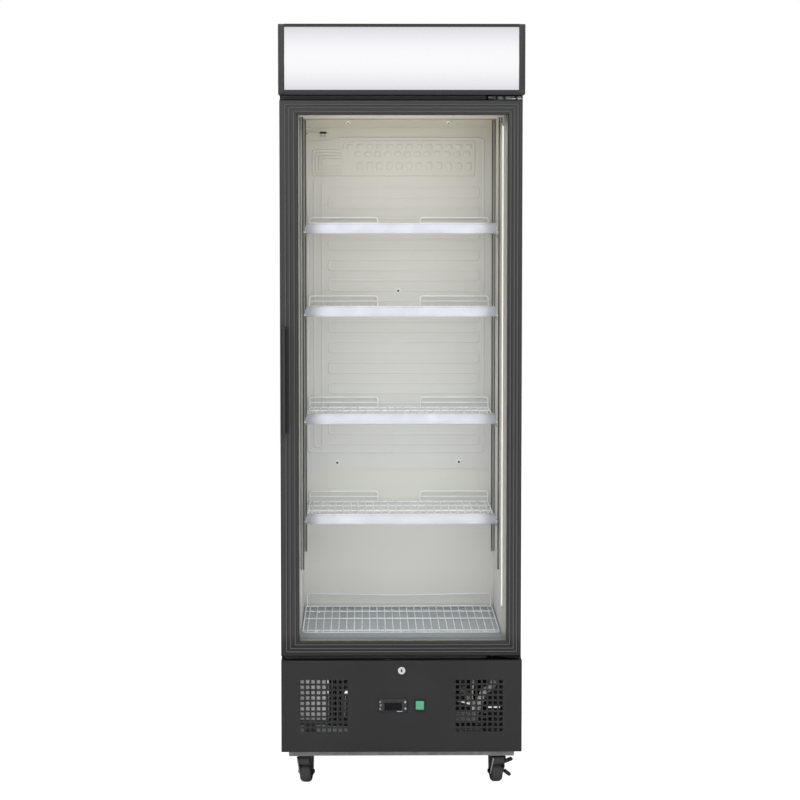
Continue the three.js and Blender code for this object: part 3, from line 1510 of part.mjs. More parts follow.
// Pull handle: a long hooked grip on the free stile, open towards the glass for the fingers
const handleLength = 272;
const handleCentreShare = 0.501;
const handleInset = 2.5;
const handleStand = 26;
const handleWall = 3;
const handleLipWidth = 12;
const handleLipThickness = 5;
const handleFoot = 19;
const handleFootThickness = 2.5;
const handleNose = 2;
function doorHandle() {
  const x0 = doorLeft + handleInset;
  const back = -seatGap;
  const front = -handleStand;
  const section = shapeFrom([
    [x0, back], [x0, front + handleNose], [x0 + handleNose, front],
    [x0 + handleLipWidth - handleNose, front], [x0 + handleLipWidth, front + handleNose],
    [x0 + handleLipWidth, front + handleLipThickness],
    [x0 + handleWall + handleNose, front + handleLipThickness],
    [x0 + handleWall, front + handleLipThickness + handleNose],
    [x0 + handleWall, back - handleFootThickness], [x0 + handleFoot, back - handleFootThickness],
    [x0 + handleFoot, back],
  ]);
  const middle = doorBottom + doorHeight * handleCentreShare;
  const body = raised(section, middle - handleLength / 2, handleLength);
  const webs = [-1, 1].map((end) => {
    const outer = middle + (end * handleLength) / 2;
    const inner = outer - end * handleWall;
    return block(
      x0 + handleWall / 2, x0 + handleLipWidth - handleNose, front + handleNose,
      back - handleFootThickness / 2, Math.min(outer, inner), Math.max(outer, inner),
    );
  });
  return joined(body, ...webs);
}

// The cabinet
piece("outer_wrap", outerWrap(), charcoal);
piece("insulation", insulation(), foamYellow);
piece("inner_liner", innerLiner(), linerWhite);
piece("back_panel", backPanel(), galvanised);
piece("base_pan", basePan(), galvanised);
piece("base_front_panel", basePanel(), charcoal);
piece("rear_guard", rearGuard(), galvanised);
piece("lock_housing", lockHousing(), zinc);
piece("lock_barrel", lockBarrel(), zinc);
piece("controller", controllerBezel(), blackPlastic);
piece("controller_key_up", controllerKey(keyOffset), zinc);
piece("controller_key_down", controllerKey(-keyOffset), zinc);
piece("switch_frame", switchFrame(), blackPlastic);
piece("switch_rocker", switchRocker(), switchGreen);

// The machine compartment
piece("compressor", compressor(), compressorBlack);
piece("condenser", condenser(), copper);
piece("fan_shroud", fanShroud(), blackPlastic);
piece("condenser_fan", condenserFan(), blackPlastic);
piece("drip_tray", dripTray(), blackPlastic);

// The cold compartment
piece("evaporator_plate", evaporatorPlate(), plateWhite);
for (const [sideName, side] of [["left", -1], ["right", 1]]) {
  piece("shelf_standard_front_" + sideName, shelfStandard(side, standardFrontShare), zinc);
  piece("shelf_standard_rear_" + sideName, shelfStandard(side, standardRearShare), zinc);
}
shelfLevels.forEach((level, index) => {
  piece("shelf_" + (index + 1), wireShelf(level), wireWhite);
  piece("ticket_strip_" + (index + 1), ticketStrip(level), stripWhite);
});
piece("bottom_rack", bottomRack(), wireWhite);
piece("interior_lamp", interiorLamp(), lampWhite);
piece("sensor_probe", sensorProbe(), wireWhite);

// The canopy
piece("canopy_housing", canopyHousing(), charcoal);
piece("canopy_cheek_left", canopyCheek(-1), blackPlastic);
piece("canopy_cheek_right", canopyCheek(1), blackPlastic);
piece("canopy_panel", canopyPanel(), opal);
piece("canopy_lamp", canopyLamp(), lampWhite);

// The door and its hinges
const keeperSlot = camSlot(doorBottom - overrun, doorBottom + keeperReach + camSide, doorBottom);
piece("hinge_top", hingeTop(), zinc);
piece("hinge_bottom", hingeBottom(), zinc);
piece("door_rail_top", cut(rail(1), hingeHole(doorTop)), charcoal);
piece("door_rail_bottom", cut(rail(-1), hingeHole(doorBottom), keeperSlot), charcoal);
piece("door_stile_handle", stile(-1), charcoal);
piece("door_stile_hinge", cut(stile(1), hingeHole(doorTop), hingeHole(doorBottom)), charcoal);
const outerPaneFront = lipThickness + seatGap;
const spacerFront = outerPaneFront + paneThickness + seatGap;
const innerPaneFront = spacerFront + paneGap + seatGap;
piece("glass_outer", doorPane(outerPaneFront), glassTint);
piece("glass_spacer", glassSpacer(spacerFront), spacerGrey);
piece("glass_inner", doorPane(innerPaneFront), glassTint);
piece("door_gasket", doorGasket(), gasketBeige);
piece("door_handle", doorHandle(), blackPlastic);

// The castors, each turned a little about its swivel pin as it came to rest
for (const { name, x, y, angle } of castorPlaces) {
  const castor = new THREE.Group();
  castor.position.set(x, y, 0);
  castor.rotation.z = THREE.MathUtils.degToRad(angle);
  const braked = name === "front_right";
  piece("castor_fork_" + name, castorFork(braked), zinc, castor);
  piece("castor_wheel_" + name, castorWheel(), tyreBlack, castor);
  if (braked) piece("brake_lever", brakeLever(), blackPlastic, castor);
  fridge.add(castor);
}

// Centre the whole on its own depth, so that the origin is on the floor under the middle.
const frontmost = -Math.max(canopyProud, handleStand);
const rearmost = rearY + beadHeight;
fridge.position.y = -(frontmost + rearmost) / 2;

export default fridge;
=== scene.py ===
# %% [markdown]
# # Dressing a glass door merchandiser
# The CAD model of an upright display fridge is loaded as a fixed frame. This lesson gives every
# surface its finish, replaces the plain wire, plate and castor solids with fuller ones, and sets
# up the camera, the light and the floor. All lengths are in metres, in the CAD model's own frame:
# +Z is up, +X is to the right of someone who faces the door, and the door faces -Y.

import json
import math

import bmesh
import bpy
from mathutils import Matrix, Vector


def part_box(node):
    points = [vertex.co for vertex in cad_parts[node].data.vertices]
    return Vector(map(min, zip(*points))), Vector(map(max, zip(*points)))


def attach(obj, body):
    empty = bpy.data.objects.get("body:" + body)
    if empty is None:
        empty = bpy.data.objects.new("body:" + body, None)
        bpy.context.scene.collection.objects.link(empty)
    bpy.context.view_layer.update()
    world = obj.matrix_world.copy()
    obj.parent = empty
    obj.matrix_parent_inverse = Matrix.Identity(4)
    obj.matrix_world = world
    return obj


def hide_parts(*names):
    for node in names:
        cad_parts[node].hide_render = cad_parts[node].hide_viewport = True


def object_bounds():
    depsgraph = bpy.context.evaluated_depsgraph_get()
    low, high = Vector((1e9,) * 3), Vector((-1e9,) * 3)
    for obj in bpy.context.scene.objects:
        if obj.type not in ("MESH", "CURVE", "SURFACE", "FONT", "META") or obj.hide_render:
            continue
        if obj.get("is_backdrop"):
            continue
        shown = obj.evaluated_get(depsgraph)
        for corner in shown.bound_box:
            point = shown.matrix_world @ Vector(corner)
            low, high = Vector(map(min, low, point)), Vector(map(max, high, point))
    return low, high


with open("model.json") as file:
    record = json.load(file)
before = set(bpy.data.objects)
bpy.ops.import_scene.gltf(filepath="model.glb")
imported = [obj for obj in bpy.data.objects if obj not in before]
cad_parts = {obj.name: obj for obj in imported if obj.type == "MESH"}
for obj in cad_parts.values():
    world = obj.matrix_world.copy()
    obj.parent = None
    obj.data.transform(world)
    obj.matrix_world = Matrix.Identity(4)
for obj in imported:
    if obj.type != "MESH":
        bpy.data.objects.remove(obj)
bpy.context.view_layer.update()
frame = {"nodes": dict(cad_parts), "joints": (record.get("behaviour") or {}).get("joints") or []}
nodes = frame["nodes"]
MM = 0.001
UP, OUT, IN = (0, 0, 1), (0, -1, 0), (0, 1, 0)  # towards the roof, the front and the back

# %% [markdown]
# Shader maths reads best as plain Python. A small class wraps a node's output socket, and its
# operators add Math nodes, so `1 - mask` or `height * 0.3` in the cells below builds the node
# tree that a person would wire by hand.

# %% A socket that can be added and multiplied
class Value:
    def __init__(self, tree, socket):
        self.tree = tree
        self.socket = socket

    def maths(self, operation, first, second):
        node = self.tree.nodes.new("ShaderNodeMath")
        node.operation = operation
        for slot, value in zip(node.inputs, (first, second)):
            feed(self.tree, slot, value)
        return Value(self.tree, node.outputs[0])

    def __add__(self, other):
        return self.maths("ADD", self, other)

    def __sub__(self, other):
        return self.maths("SUBTRACT", self, other)

    def __rsub__(self, other):
        return self.maths("SUBTRACT", other, self)

    def __mul__(self, other):
        return self.maths("MULTIPLY", self, other)

    def __truediv__(self, other):
        return self.maths("DIVIDE", self, other)

    __radd__ = __add__
    __rmul__ = __mul__


def feed(tree, slot, value):
    if isinstance(value, Value):
        tree.links.new(value.socket, slot)
    elif isinstance(value, (int, float)) and slot.type == "RGBA":
        slot.default_value = (value, value, value, 1)
    elif isinstance(value, tuple) and slot.type == "RGBA":
        slot.default_value = (*value, 1)
    else:
        slot.default_value = value


# %% [markdown]
# A finish is a material with one Principled shader. `node` adds any other node from its type,
# its settings and the values of its sockets. The textures read object coordinates, which are the
# CAD frame's metres, so a grain size is written as a real size and doesn't slide when a body moves.

# %% A finish and its nodes
class Finish:
    def __init__(self, name, colour, roughness, **constants):
        self.material = bpy.data.materials.new(name)
        self.material.use_nodes = True
        self.tree = self.material.node_tree
        self.shader = self.tree.nodes["Principled BSDF"]
        self.set(base_color=colour, roughness=roughness, **constants)
        self.coordinates = self.node("TexCoord", output="Object")

    def node(self, kind, output=0, settings=(), **inputs):
        made = self.tree.nodes.new("ShaderNode" + kind)
        for key, value in dict(settings).items():
            setattr(made, key, value)
        for key, value in inputs.items():
            name = key.replace("_", " ").title()
            slot = made.inputs[int(key[1:])] if key[0] == "n" and key[1:].isdigit() else made.inputs[name]
            feed(self.tree, slot, value)
        return Value(self.tree, made.outputs[output])

    def set(self, **inputs):
        for key, value in inputs.items():
            names = {"ior": "IOR", "specular": "Specular IOR Level", "coat": "Coat Weight"}
            feed(self.tree, self.shader.inputs[names.get(key, key.replace("_", " ").title())], value)
        return self

    def stretched(self, x, y, z):
        return self.node("Mapping", Vector=self.coordinates, Scale=(x, y, z))

    def noise(self, grain, detail=3, where=None, rough=0.5):
        return self.node(
            "TexNoise", Vector=where or self.coordinates, Scale=1 / grain, Detail=detail, Roughness=rough,
        )

    def ramp(self, value, low, high):
        return self.node("MapRange", n0=value, n1=low, n2=high, n3=0.0, n4=1.0)

    def blend(self, factor, first, second):
        mix = self.tree.nodes.new("ShaderNodeMix")
        mix.data_type = "RGBA"
        for slot, value in zip((mix.inputs[0], mix.inputs[6], mix.inputs[7]), (factor, first, second)):
            feed(self.tree, slot, value)
        return Value(self.tree, mix.outputs[2])

    def bump(self, height, depth):
        normal = self.node("Bump", Height=height, Distance=depth, Strength=1.0)
        return self.set(normal=normal)

    def axis(self, index):
        return self.node("SeparateXYZ", output=index, Vector=self.coordinates)


# %% [markdown]
# Pieces are gathered as lists of vertices and faces. The methods below draw the forms that this
# object is made of: round wire along a path, turned forms, boxes and profiles that run along X, Y
# or Z. Wire corners are rounded first, because real wire has a bend radius at each turn.

# %% Gather the mesh of a piece
def mm(*pairs):
    """Pairs in millimetres, as pairs in metres."""
    return [(a * MM, b * MM) for a, b in pairs]


class Shape:
    def __init__(self):
        self.points = []
        self.faces = []

    def add(self, points, faces):
        start = len(self.points)
        self.points += [tuple(p) for p in points]
        self.faces += [tuple(start + i for i in face) for face in faces]
        return self

    def rings(self, rings, closed=False, capped=True):
        count = len(rings[0])
        points = [p for ring in rings for p in ring]
        faces = []
        last = len(rings) if closed else len(rings) - 1
        for r in range(last):
            here, there = r * count, (r + 1) % len(rings) * count
            for i in range(count):
                j = (i + 1) % count
                faces.append((here + i, here + j, there + j, there + i))
        if capped and not closed:
            faces.append(tuple(reversed(range(count))))
            faces.append(tuple(range((len(rings) - 1) * count, len(rings) * count)))
        return self.add(points, faces)

    def tube(self, path, radius, sides=8, closed=False):
        path = [Vector(p) for p in path]
        count = len(path)
        rings, side = [], None
        for i, point in enumerate(path):
            before = path[i - 1] if i or closed else point
            after = path[(i + 1) % count] if i < count - 1 or closed else point
            along = (after - before).normalized()
            if side is None:
                side = along.orthogonal().normalized()
            side = (side - along * side.dot(along)).normalized()
            other = along.cross(side)
            rings.append([
                point + (side * math.cos(a) + other * math.sin(a)) * radius
                for a in (2 * math.pi * k / sides for k in range(sides))
            ])
        return self.rings(rings, closed=closed)

    def turned(self, profile, centre, axis, steps=32):
        """The profile holds pairs: the radius, and the distance along the axis."""
        axis = Vector(axis).normalized()
        side = axis.orthogonal().normalized()
        other = axis.cross(side)
        centre = Vector(centre)
        rings = []
        for k in range(steps):
            a = 2 * math.pi * k / steps
            out = side * math.cos(a) + other * math.sin(a)
            rings.append([centre + out * r + axis * h for r, h in profile])
        return self.rings(rings, closed=True)

    def box(self, low, high):
        x0, y0, z0 = low
        x1, y1, z1 = high
        lower = [(x0, y0, z0), (x1, y0, z0), (x1, y1, z0), (x0, y1, z0)]
        upper = [(x, y, z1) for x, y, z in lower]
        return self.rings([lower, upper])

    def moved(self, matrix):
        self.points = [tuple(matrix @ Vector(point)) for point in self.points]
        return self

    def prism(self, outline, start, end, axis):
        """An outline of two coordinates, run along X, Y or Z between two positions."""
        def place(a, b, c):
            return {"x": (c, a, b), "y": (a, c, b), "z": (a, b, c)}[axis]
        return self.rings([[place(a, b, start) for a, b in outline], [place(a, b, end) for a, b in outline]])


# %% Turn a gathered shape into a piece that rides on a body
def link(name, mesh, body):
    piece = bpy.data.objects.new(name, mesh)
    bpy.context.scene.collection.objects.link(piece)
    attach(piece, body)
    return piece


def piece(shape, name, body, finish, slot, smooth=40, bevel=0, stands_for=()):
    mesh = bpy.data.meshes.new(name)
    mesh.from_pydata(shape.points, [], shape.faces)
    mesh.validate()
    mesh.materials.append(finish.material)
    made = link(name, mesh, body)
    tidy_normals(made)
    if bevel:
        soften(made, bevel)
    shade(made, smooth)
    if stands_for:
        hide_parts(*stands_for)
    return made


def tidy_normals(made):
    work = bmesh.new()
    work.from_mesh(made.data)
    bmesh.ops.remove_doubles(work, verts=work.verts, dist=1e-6)
    bmesh.ops.recalc_face_normals(work, faces=work.faces)
    work.to_mesh(made.data)
    work.free()


def soften(made, width, steps=2, angle=35):
    bevel = made.modifiers.new("edges", "BEVEL")
    bevel.width = width
    bevel.segments = steps
    bevel.limit_method = "ANGLE"
    bevel.angle_limit = math.radians(angle)
    bevel.harden_normals = False
    return bevel


def shade(made, angle):
    """Smooth shading, with the edges sharper than the angle kept sharp."""
    mesh = made.data
    mesh.polygons.foreach_set("use_smooth", [angle > 0] * len(mesh.polygons))
    if angle > 0:
        mesh.set_sharp_from_angle(angle=math.radians(angle))


def boxes(*corners):
    """One shape from pairs of opposite corners."""
    made = Shape()
    for low, high in corners:
        made.box(low, high)
    return made


def arch(x0, x1, y, foot, top):
    """The corners of an upturned U that stands across Y."""
    return [(x0, y, foot), (x0, y, top), (x1, y, top), (x1, y, foot)]


def flat_loop(x, front, back, z):
    """The corners of a level rectangle that is centred on X."""
    return [(-x, front, z), (x, front, z), (x, back, z), (-x, back, z)]


def spread(low, high, pitch):
    """Even places from low to high, as near to the pitch as they come."""
    count = round((high - low) / pitch)
    return [low + (high - low) * i / count for i in range(count + 1)]


def bent(corners, radius, steps=4, closed=False):
    """A path through the corners, with each turn rounded to the radius."""
    corners = [Vector(c) for c in corners]
    count = len(corners)
    path = []
    for i, corner in enumerate(corners):
        if not closed and i in (0, count - 1):
            path.append(corner)
            continue
        back = (corners[i - 1] - corner)
        ahead = (corners[(i + 1) % count] - corner)
        reach = min(radius, back.length * 0.49, ahead.length * 0.49)
        start, end = corner + back.normalized() * reach, corner + ahead.normalized() * reach
        for k in range(steps + 1):
            t = k / steps
            path.append(start * (1 - t) ** 2 + corner * 2 * t * (1 - t) + end * t * t)
    return path


print("helpers ready")

# %% [markdown]
# ## Finishes
# The cabinet is sheet steel with a charcoal powder coat. Under a lamp such a coat shows a fine
# orange peel, so its bump is a noise of about 1.5 mm grain, and the roughness wanders a little over
# larger patches, where hands and cloths have polished it.

# %% Powder coat
CHARCOAL = (0.0195, 0.0195, 0.02)


def tint(colour, share):
    return tuple(c * share for c in colour)


def powder_coat(name, colour, grain=0.0016, depth=0.00006):
    coat = Finish(name, colour, 0.5, specular=0.35)
    patches = coat.noise(0.16, detail=4)
    peel = coat.noise(grain, detail=2)
    coat.set(base_color=coat.blend(coat.ramp(patches, 0.35, 0.75), colour, tint(colour, 1.35)))
    coat.set(roughness=0.42 + coat.ramp(patches, 0.3, 0.7) * 0.14 + peel * 0.05)
    coat.bump(peel, depth)
    return coat


cabinet_coat = powder_coat("charcoal_powder_coat", CHARCOAL)
canopy_coat = powder_coat("canopy_powder_coat", CHARCOAL)
print("coats", cabinet_coat.material.name, canopy_coat.material.name)

# %% [markdown]
# The door frame is an extruded profile. The die leaves hair lines along each length, so the noise
# is stretched up and down on the stiles and from side to side on the rails.

# %% Extruded profile and moulded plastic
PROFILE_GREY = (0.042, 0.042, 0.043)
CREST_HALF, GROOVE_HALF, GROOVE_OFF = 1.6 * MM, 1.7 * MM, 2.9 * MM
SHADE_STARTS, SHADE_FULL = 60 * MM, 30 * MM  # above the foot of the door
CREST_SHARES = (0.29, 0.51, 0.77)  # of the width of the profile, from its outer edge
HANDLE_STILE, HINGE_STILE, RAIL_TALL = 47.2 * MM, 36.7 * MM, 38 * MM
DOOR_LOW, DOOR_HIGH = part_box("door_rail_bottom")[0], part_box("door_rail_top")[1]
HANDLE_EDGE, HANDLE_EDGE_HALF = -0.3005, 3.5 * MM


def stripes(finish, axis, centres, half):
    """1 on each line across the axis, falling to 0 at the half width."""
    place = finish.axis(axis)
    total = None
    for centre in centres:
        off = place - centre
        near = finish.ramp(off.maths("ABSOLUTE", off, 0), half, 0.0)
        total = near if total is None else total + near
    return total


def extruded_profile(name, along, crests, grooves):
    finish = Finish(name, PROFILE_GREY, 0.38, specular=0.4)
    across = {"x": 2, "z": 0}[along]
    squeeze = {"x": (0.02, 1, 1), "z": (1, 1, 0.02)}[along]
    lines = finish.noise(0.0007, detail=3, where=finish.stretched(*squeeze))
    cloud = finish.noise(0.22, detail=3)
    # Painted shade: the profile is painted darker towards the foot of the door.
    shadow = finish.ramp(finish.axis(2), DOOR_LOW.z + SHADE_STARTS, DOOR_LOW.z + SHADE_FULL)
    foot_shaded = finish.blend(shadow, PROFILE_GREY, tint(PROFILE_GREY, 0.37))
    plain = finish.blend(cloud * 0.2, foot_shaded, tint(PROFILE_GREY, 0.3))
    # Painted highlight on each crest of the profile, and painted shade in the groove beside it.
    crest, groove = stripes(finish, across, crests, CREST_HALF), stripes(finish, across, grooves, GROOVE_HALF)
    # This colour is a painted highlight along the crests.
    worn = finish.blend(crest, plain, tint(PROFILE_GREY, 3.2))
    finish.set(base_color=finish.blend(groove, worn, tint(PROFILE_GREY, 0.25)))
    finish.set(roughness=0.32 + lines * 0.12 + cloud * 0.06)
    finish.bump(lines, 0.00004)
    return finish


def moulded(name, colour, roughness, grain=0.0009, depth=0.00005, **constants):
    finish = Finish(name, colour, roughness, **constants)
    pebble = finish.noise(grain, detail=2)
    dust = finish.noise(0.05, detail=4)
    lighter = tuple(min(1, c * 1.2 + 0.004) for c in colour)
    finish.set(base_color=finish.blend(finish.ramp(dust, 0.4, 0.8), colour, lighter))
    finish.set(roughness=roughness + (pebble - 0.5) * 0.12 + (dust - 0.5) * 0.08)
    finish.bump(pebble, depth)
    return finish


STILE_CRESTS = [DOOR_LOW.x + HANDLE_STILE * share for share in CREST_SHARES]
STILE_CRESTS += [DOOR_HIGH.x - HINGE_STILE * share for share in CREST_SHARES]
RAIL_CRESTS = [DOOR_LOW.z + RAIL_TALL * share for share in CREST_SHARES]
RAIL_CRESTS += [DOOR_HIGH.z - RAIL_TALL * share for share in CREST_SHARES]
stile_profile = extruded_profile("stile_profile", "z", STILE_CRESTS, [x + GROOVE_OFF for x in STILE_CRESTS])
rail_profile = extruded_profile("rail_profile", "x", RAIL_CRESTS, [z - GROOVE_OFF for z in RAIL_CRESTS])
black_plastic = moulded("black_moulding", (0.012, 0.012, 0.0125), 0.45)
handle_plastic = moulded("handle_moulding", (0.013, 0.013, 0.0135), 0.35, depth=0.00003)
# Painted highlight: a lighter line along the front ridge of the handle, which is otherwise near black.
handle_highlight = stripes(handle_plastic, 0, (HANDLE_EDGE,), HANDLE_EDGE_HALF)
handle_plastic.set(
    base_color=handle_plastic.blend(handle_highlight, (0.010, 0.010, 0.0105), (0.045, 0.045, 0.046)),
)
cheek_plastic = moulded("cheek_moulding", (0.02, 0.02, 0.021), 0.42)
key_plastic = moulded("key_plastic", (0.42, 0.43, 0.44), 0.35, depth=0.00002)
plug_plastic = moulded("plug_plastic", (0.74, 0.74, 0.72), 0.4)
strip_plastic = moulded("strip_plastic", (0.39, 0.395, 0.43), 0.32, grain=0.004, depth=0.00003)
probe_plastic = moulded("probe_plastic", (0.62, 0.62, 0.58), 0.5)
gasket_rubber = moulded("gasket_rubber", (0.42, 0.375, 0.28), 0.62, grain=0.0006, depth=0.00003)
foam_finish = moulded("rigid_foam", (0.62, 0.50, 0.24), 0.9, grain=0.0012, depth=0.0005)
tyre_rubber = moulded("tyre_rubber", (0.044, 0.044, 0.045), 0.62, grain=0.0007, depth=0.00008)
compressor_enamel = moulded("compressor_enamel", (0.010, 0.010, 0.011), 0.25, grain=0.003, depth=0.00005)
print("profiles and plastics ready")

# %% [markdown]
# Bare metals vary more in gloss than in colour. Zinc plate on hinges and screws is bright with a
# cloudy film, and on the castor forks it is much darker. Galvanised sheet shows its spangle as
# crystals of about a centimetre, and copper tube darkens in patches.

# %% Plated, galvanised and copper metals
def plated(name, colour, roughness, cloud=0.02, metallic=0.9):
    finish = Finish(name, colour, roughness, metallic=metallic)
    film = finish.noise(cloud, detail=5, rough=0.65)
    scratch = finish.noise(0.0008, detail=2, where=finish.stretched(1, 0.06, 0.06))
    finish.set(base_color=finish.blend(finish.ramp(film, 0.3, 0.8), colour, tint(colour, 0.72)))
    finish.set(roughness=roughness + finish.ramp(film, 0.2, 0.8) * 0.16 + scratch * 0.06)
    finish.bump(scratch, 0.00002)
    return finish


def galvanised(name, colour):
    finish = Finish(name, colour, 0.4, metallic=0.75)
    crystal = finish.node("TexVoronoi", output="Color", Vector=finish.coordinates, Scale=1 / 0.012)
    shade_of = finish.node("SeparateColor", output=0, Color=crystal)
    film = finish.noise(0.09, detail=4)
    finish.set(base_color=finish.blend(shade_of, colour, tint(colour, 0.82)))
    finish.set(roughness=0.34 + shade_of * 0.12 + film * 0.10)
    finish.bump(finish.noise(0.002), 0.00003)
    return finish


zinc_plate = plated("zinc_plate", (0.62, 0.63, 0.64), 0.24)
fork_zinc = plated("castor_zinc", (0.045, 0.045, 0.046), 0.3, cloud=0.008)
# Painted highlight: a bright strip on the front edge of the left fork cheek, where light glints.
fork_glint = plated("castor_glint", (0.62, 0.62, 0.63), 0.35, cloud=0.008, metallic=0.4)
STANDARD_FACE, STANDARD_WALL, STANDARD_SHEET = 252.7 * MM, 261.7 * MM, 1.2 * MM
JOINT_OFF, SHADE_HALF = 8.2 * MM, 2.2 * MM
HINGE_NOTCHES, NOTCH_HALF = (0.243, 0.262, 0.292), 6 * MM


def standard_metal():
    """The inner edge of a channel lies in its own shade, and so does the joint at the wall."""
    finish = plated("standard_zinc", (0.56, 0.56, 0.55), 0.42)
    edges = [side * (STANDARD_FACE + off) for side in (-1, 1) for off in (STANDARD_SHEET, JOINT_OFF)]
    shaded = stripes(finish, 0, edges, SHADE_HALF)
    finish.set(base_color=finish.blend(shaded, (0.50, 0.50, 0.49), (0.045, 0.042, 0.036)))
    return finish


standard_zinc = standard_metal()
hinge_zinc = plated("hinge_zinc", (0.62, 0.63, 0.64), 0.24)
# Painted shade: near black stripes across the top hinge where its notches are.
notch_shade = stripes(hinge_zinc, 0, HINGE_NOTCHES, NOTCH_HALF)
hinge_zinc.set(base_color=hinge_zinc.blend(notch_shade, (0.62, 0.63, 0.64), (0.03, 0.03, 0.03)))
hinge_dark = plated("hinge_dark", (0.03, 0.03, 0.031), 0.4)
insulation_white = moulded("pipe_insulation", (0.86, 0.86, 0.84), 0.7, grain=0.002, depth=0.0002)
# Painted reflection: the lock's chrome is a near white colour with little metal shine, so its brightness is
# painted in.
chrome_face = plated("lock_chrome", (0.88, 0.88, 0.88), 0.3, cloud=0.006, metallic=0.1)
copper_tube = plated("copper_tube", (0.20, 0.115, 0.085), 0.34, cloud=0.03)
# Painted light: the trim in the shaded gap under the canopy is painted much lighter than the cabinet's
# charcoal.
trim_painted_light = moulded("trim_painted_light", (0.060, 0.060, 0.061), 0.5)
# Painted light: the seal on the base panel sits in shade under the door and is painted lighter than its
# rubber.
seal_rubber_painted_light = moulded("seal_rubber_painted_light", (0.085, 0.085, 0.085), 0.6)
fin_aluminium = plated("fin_aluminium", (0.62, 0.63, 0.64), 0.3, cloud=0.01)
galvanised_sheet = galvanised("galvanised_sheet", (0.36, 0.365, 0.37))
baffle_sheet = galvanised("baffle_sheet", (0.70, 0.70, 0.70))
pan_sheet = galvanised("pan_sheet", (0.26, 0.26, 0.262))
print("metals ready")

# %% [markdown]
# The inside is coated off white: the liner and the evaporator plate have a satin lacquer, painted warmer and
# darker near the lamp at the top as painted light and shade, and cooler and darker on the floor as painted
# shade. The shelf wires are dipped in a bluish white plastic.

# %% The cold inside
# Painted shade: the floor of the cabinet is painted cooler and darker than its walls.
FLOOR_PAINTED_SHADE = (0.34, 0.375, 0.41)
FLOOR_EDGE = (0.384, 0.40)  # the colour changes from floor to wall between these heights
WARM_PAINTED_RANGE = (0.7, 1.72)  # and the painted warm light and shade grow between these


def lacquer_with_painted_light(name, low_colour, high_colour, roughness, grain, depth):
    finish = Finish(name, low_colour, roughness, specular=0.4)
    height = finish.ramp(finish.axis(2), *WARM_PAINTED_RANGE)
    cloud = finish.noise(0.12, detail=4)
    # Painted light and shade: the walls are painted warmer and darker towards the top.
    wall = finish.blend(height * 0.85 + cloud * 0.15, low_colour, high_colour)
    # The floor of the cabinet gets the painted shade colour.
    finish.set(base_color=finish.blend(finish.ramp(finish.axis(2), *FLOOR_EDGE), FLOOR_PAINTED_SHADE, wall))
    finish.set(roughness=roughness + (cloud - 0.5) * 0.12)
    finish.bump(finish.noise(grain, detail=2), depth)
    return finish


liner_coat = lacquer_with_painted_light("liner_coat", (0.70, 0.69, 0.67), (0.57, 0.545, 0.475), 0.42, 0.004, 0.00006)
evaporator_coat = lacquer_with_painted_light("evaporator_coat", (0.68, 0.683, 0.688), (0.57, 0.552, 0.515), 0.4, 0.003, 0.00005)
wire_coat = moulded("wire_coat", (0.80, 0.82, 0.85), 0.3, grain=0.003, depth=0.00002)
spacer_metal = plated("spacer_metal", (0.30, 0.31, 0.32), 0.35)
print("inside finishes ready")

# %% [markdown]
# Clear glass that stands between the camera and a lit inside is a mix of a transparent shader and
# a glossy one, weighed by Fresnel. Light then reaches the shelves, which a refracting glass
# shader would hold back, and the pane still shines at a grazing angle.

# %% Glass, opal panel and lamps
def pane_glass():
    finish = Finish("pane_glass", (0.9, 0.95, 0.93), 0.03)
    tree = finish.tree
    tree.nodes.remove(finish.shader)
    clear = finish.node("BsdfTransparent", Color=(0.990, 0.993, 0.991))
    gloss = finish.node("BsdfAnisotropic", Color=(1.0, 1.0, 1.0), Roughness=0.03)
    mix = tree.nodes.new("ShaderNodeMixShader")
    fresnel = finish.node("LayerWeight", output="Fresnel", Blend=0.12)
    for slot, value in zip(mix.inputs, (fresnel * 0.5, clear, gloss)):
        feed(tree, slot, value)
    tree.links.new(mix.outputs[0], tree.nodes["Material Output"].inputs["Surface"])
    return finish


def lit(name, colour, strength, roughness=0.3):
    finish = Finish(name, colour, roughness, emission_strength=strength)
    finish.set(emission_color=colour)
    return finish


glass = pane_glass()
lamp_glow = lit("lamp_diffuser", (1.0, 0.985, 0.93), 0.62)
canopy_lamp_glow = lit("canopy_lamp", (1.0, 1.0, 1.0), 1.0)


def opal_sheet():
    """The panel glows most at the height of the lamp behind it."""
    low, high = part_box("canopy_panel")
    middle, half = (low.z + high.z) / 2, (high.z - low.z) / 2
    finish = Finish("opal_panel", (0.08, 0.08, 0.082), 0.3, specular=0.25)
    off = (finish.axis(2) - middle) / half
    glow = 1 - off * off
    finish.set(emission_color=finish.blend(glow, (0.66, 0.66, 0.71), (0.98, 0.98, 1.0)))
    finish.set(emission_strength=0.86)
    cloud = finish.noise(0.02, detail=3)
    finish.set(roughness=0.24 + cloud * 0.08)
    finish.bump(finish.noise(0.004, detail=2), 0.00002)
    return finish


LIT_HALF = (0.206, 0.227)


def lit_green():
    """The moulding of a rocker switch with a lamp behind its upper half."""
    finish = Finish("switch_green", (0.085, 0.38, 0.20), 0.22, emission_strength=0.12)
    cloud = finish.noise(0.003, detail=2)
    upper = finish.ramp(finish.axis(2), *LIT_HALF)
    finish.set(emission_color=finish.blend(upper, (0.10, 0.42, 0.22), (0.34, 0.86, 0.60)))
    finish.set(roughness=0.18 + cloud * 0.08)
    finish.bump(cloud, 0.00002)
    return finish


opal_panel = opal_sheet()
switch_green = lit_green()
display_lens = moulded("display_lens", (0.003, 0.003, 0.004), 0.12, grain=0.01, depth=0.000005, specular=0.15)
bezel_plastic = moulded("bezel_plastic", (0.024, 0.024, 0.025), 0.4)
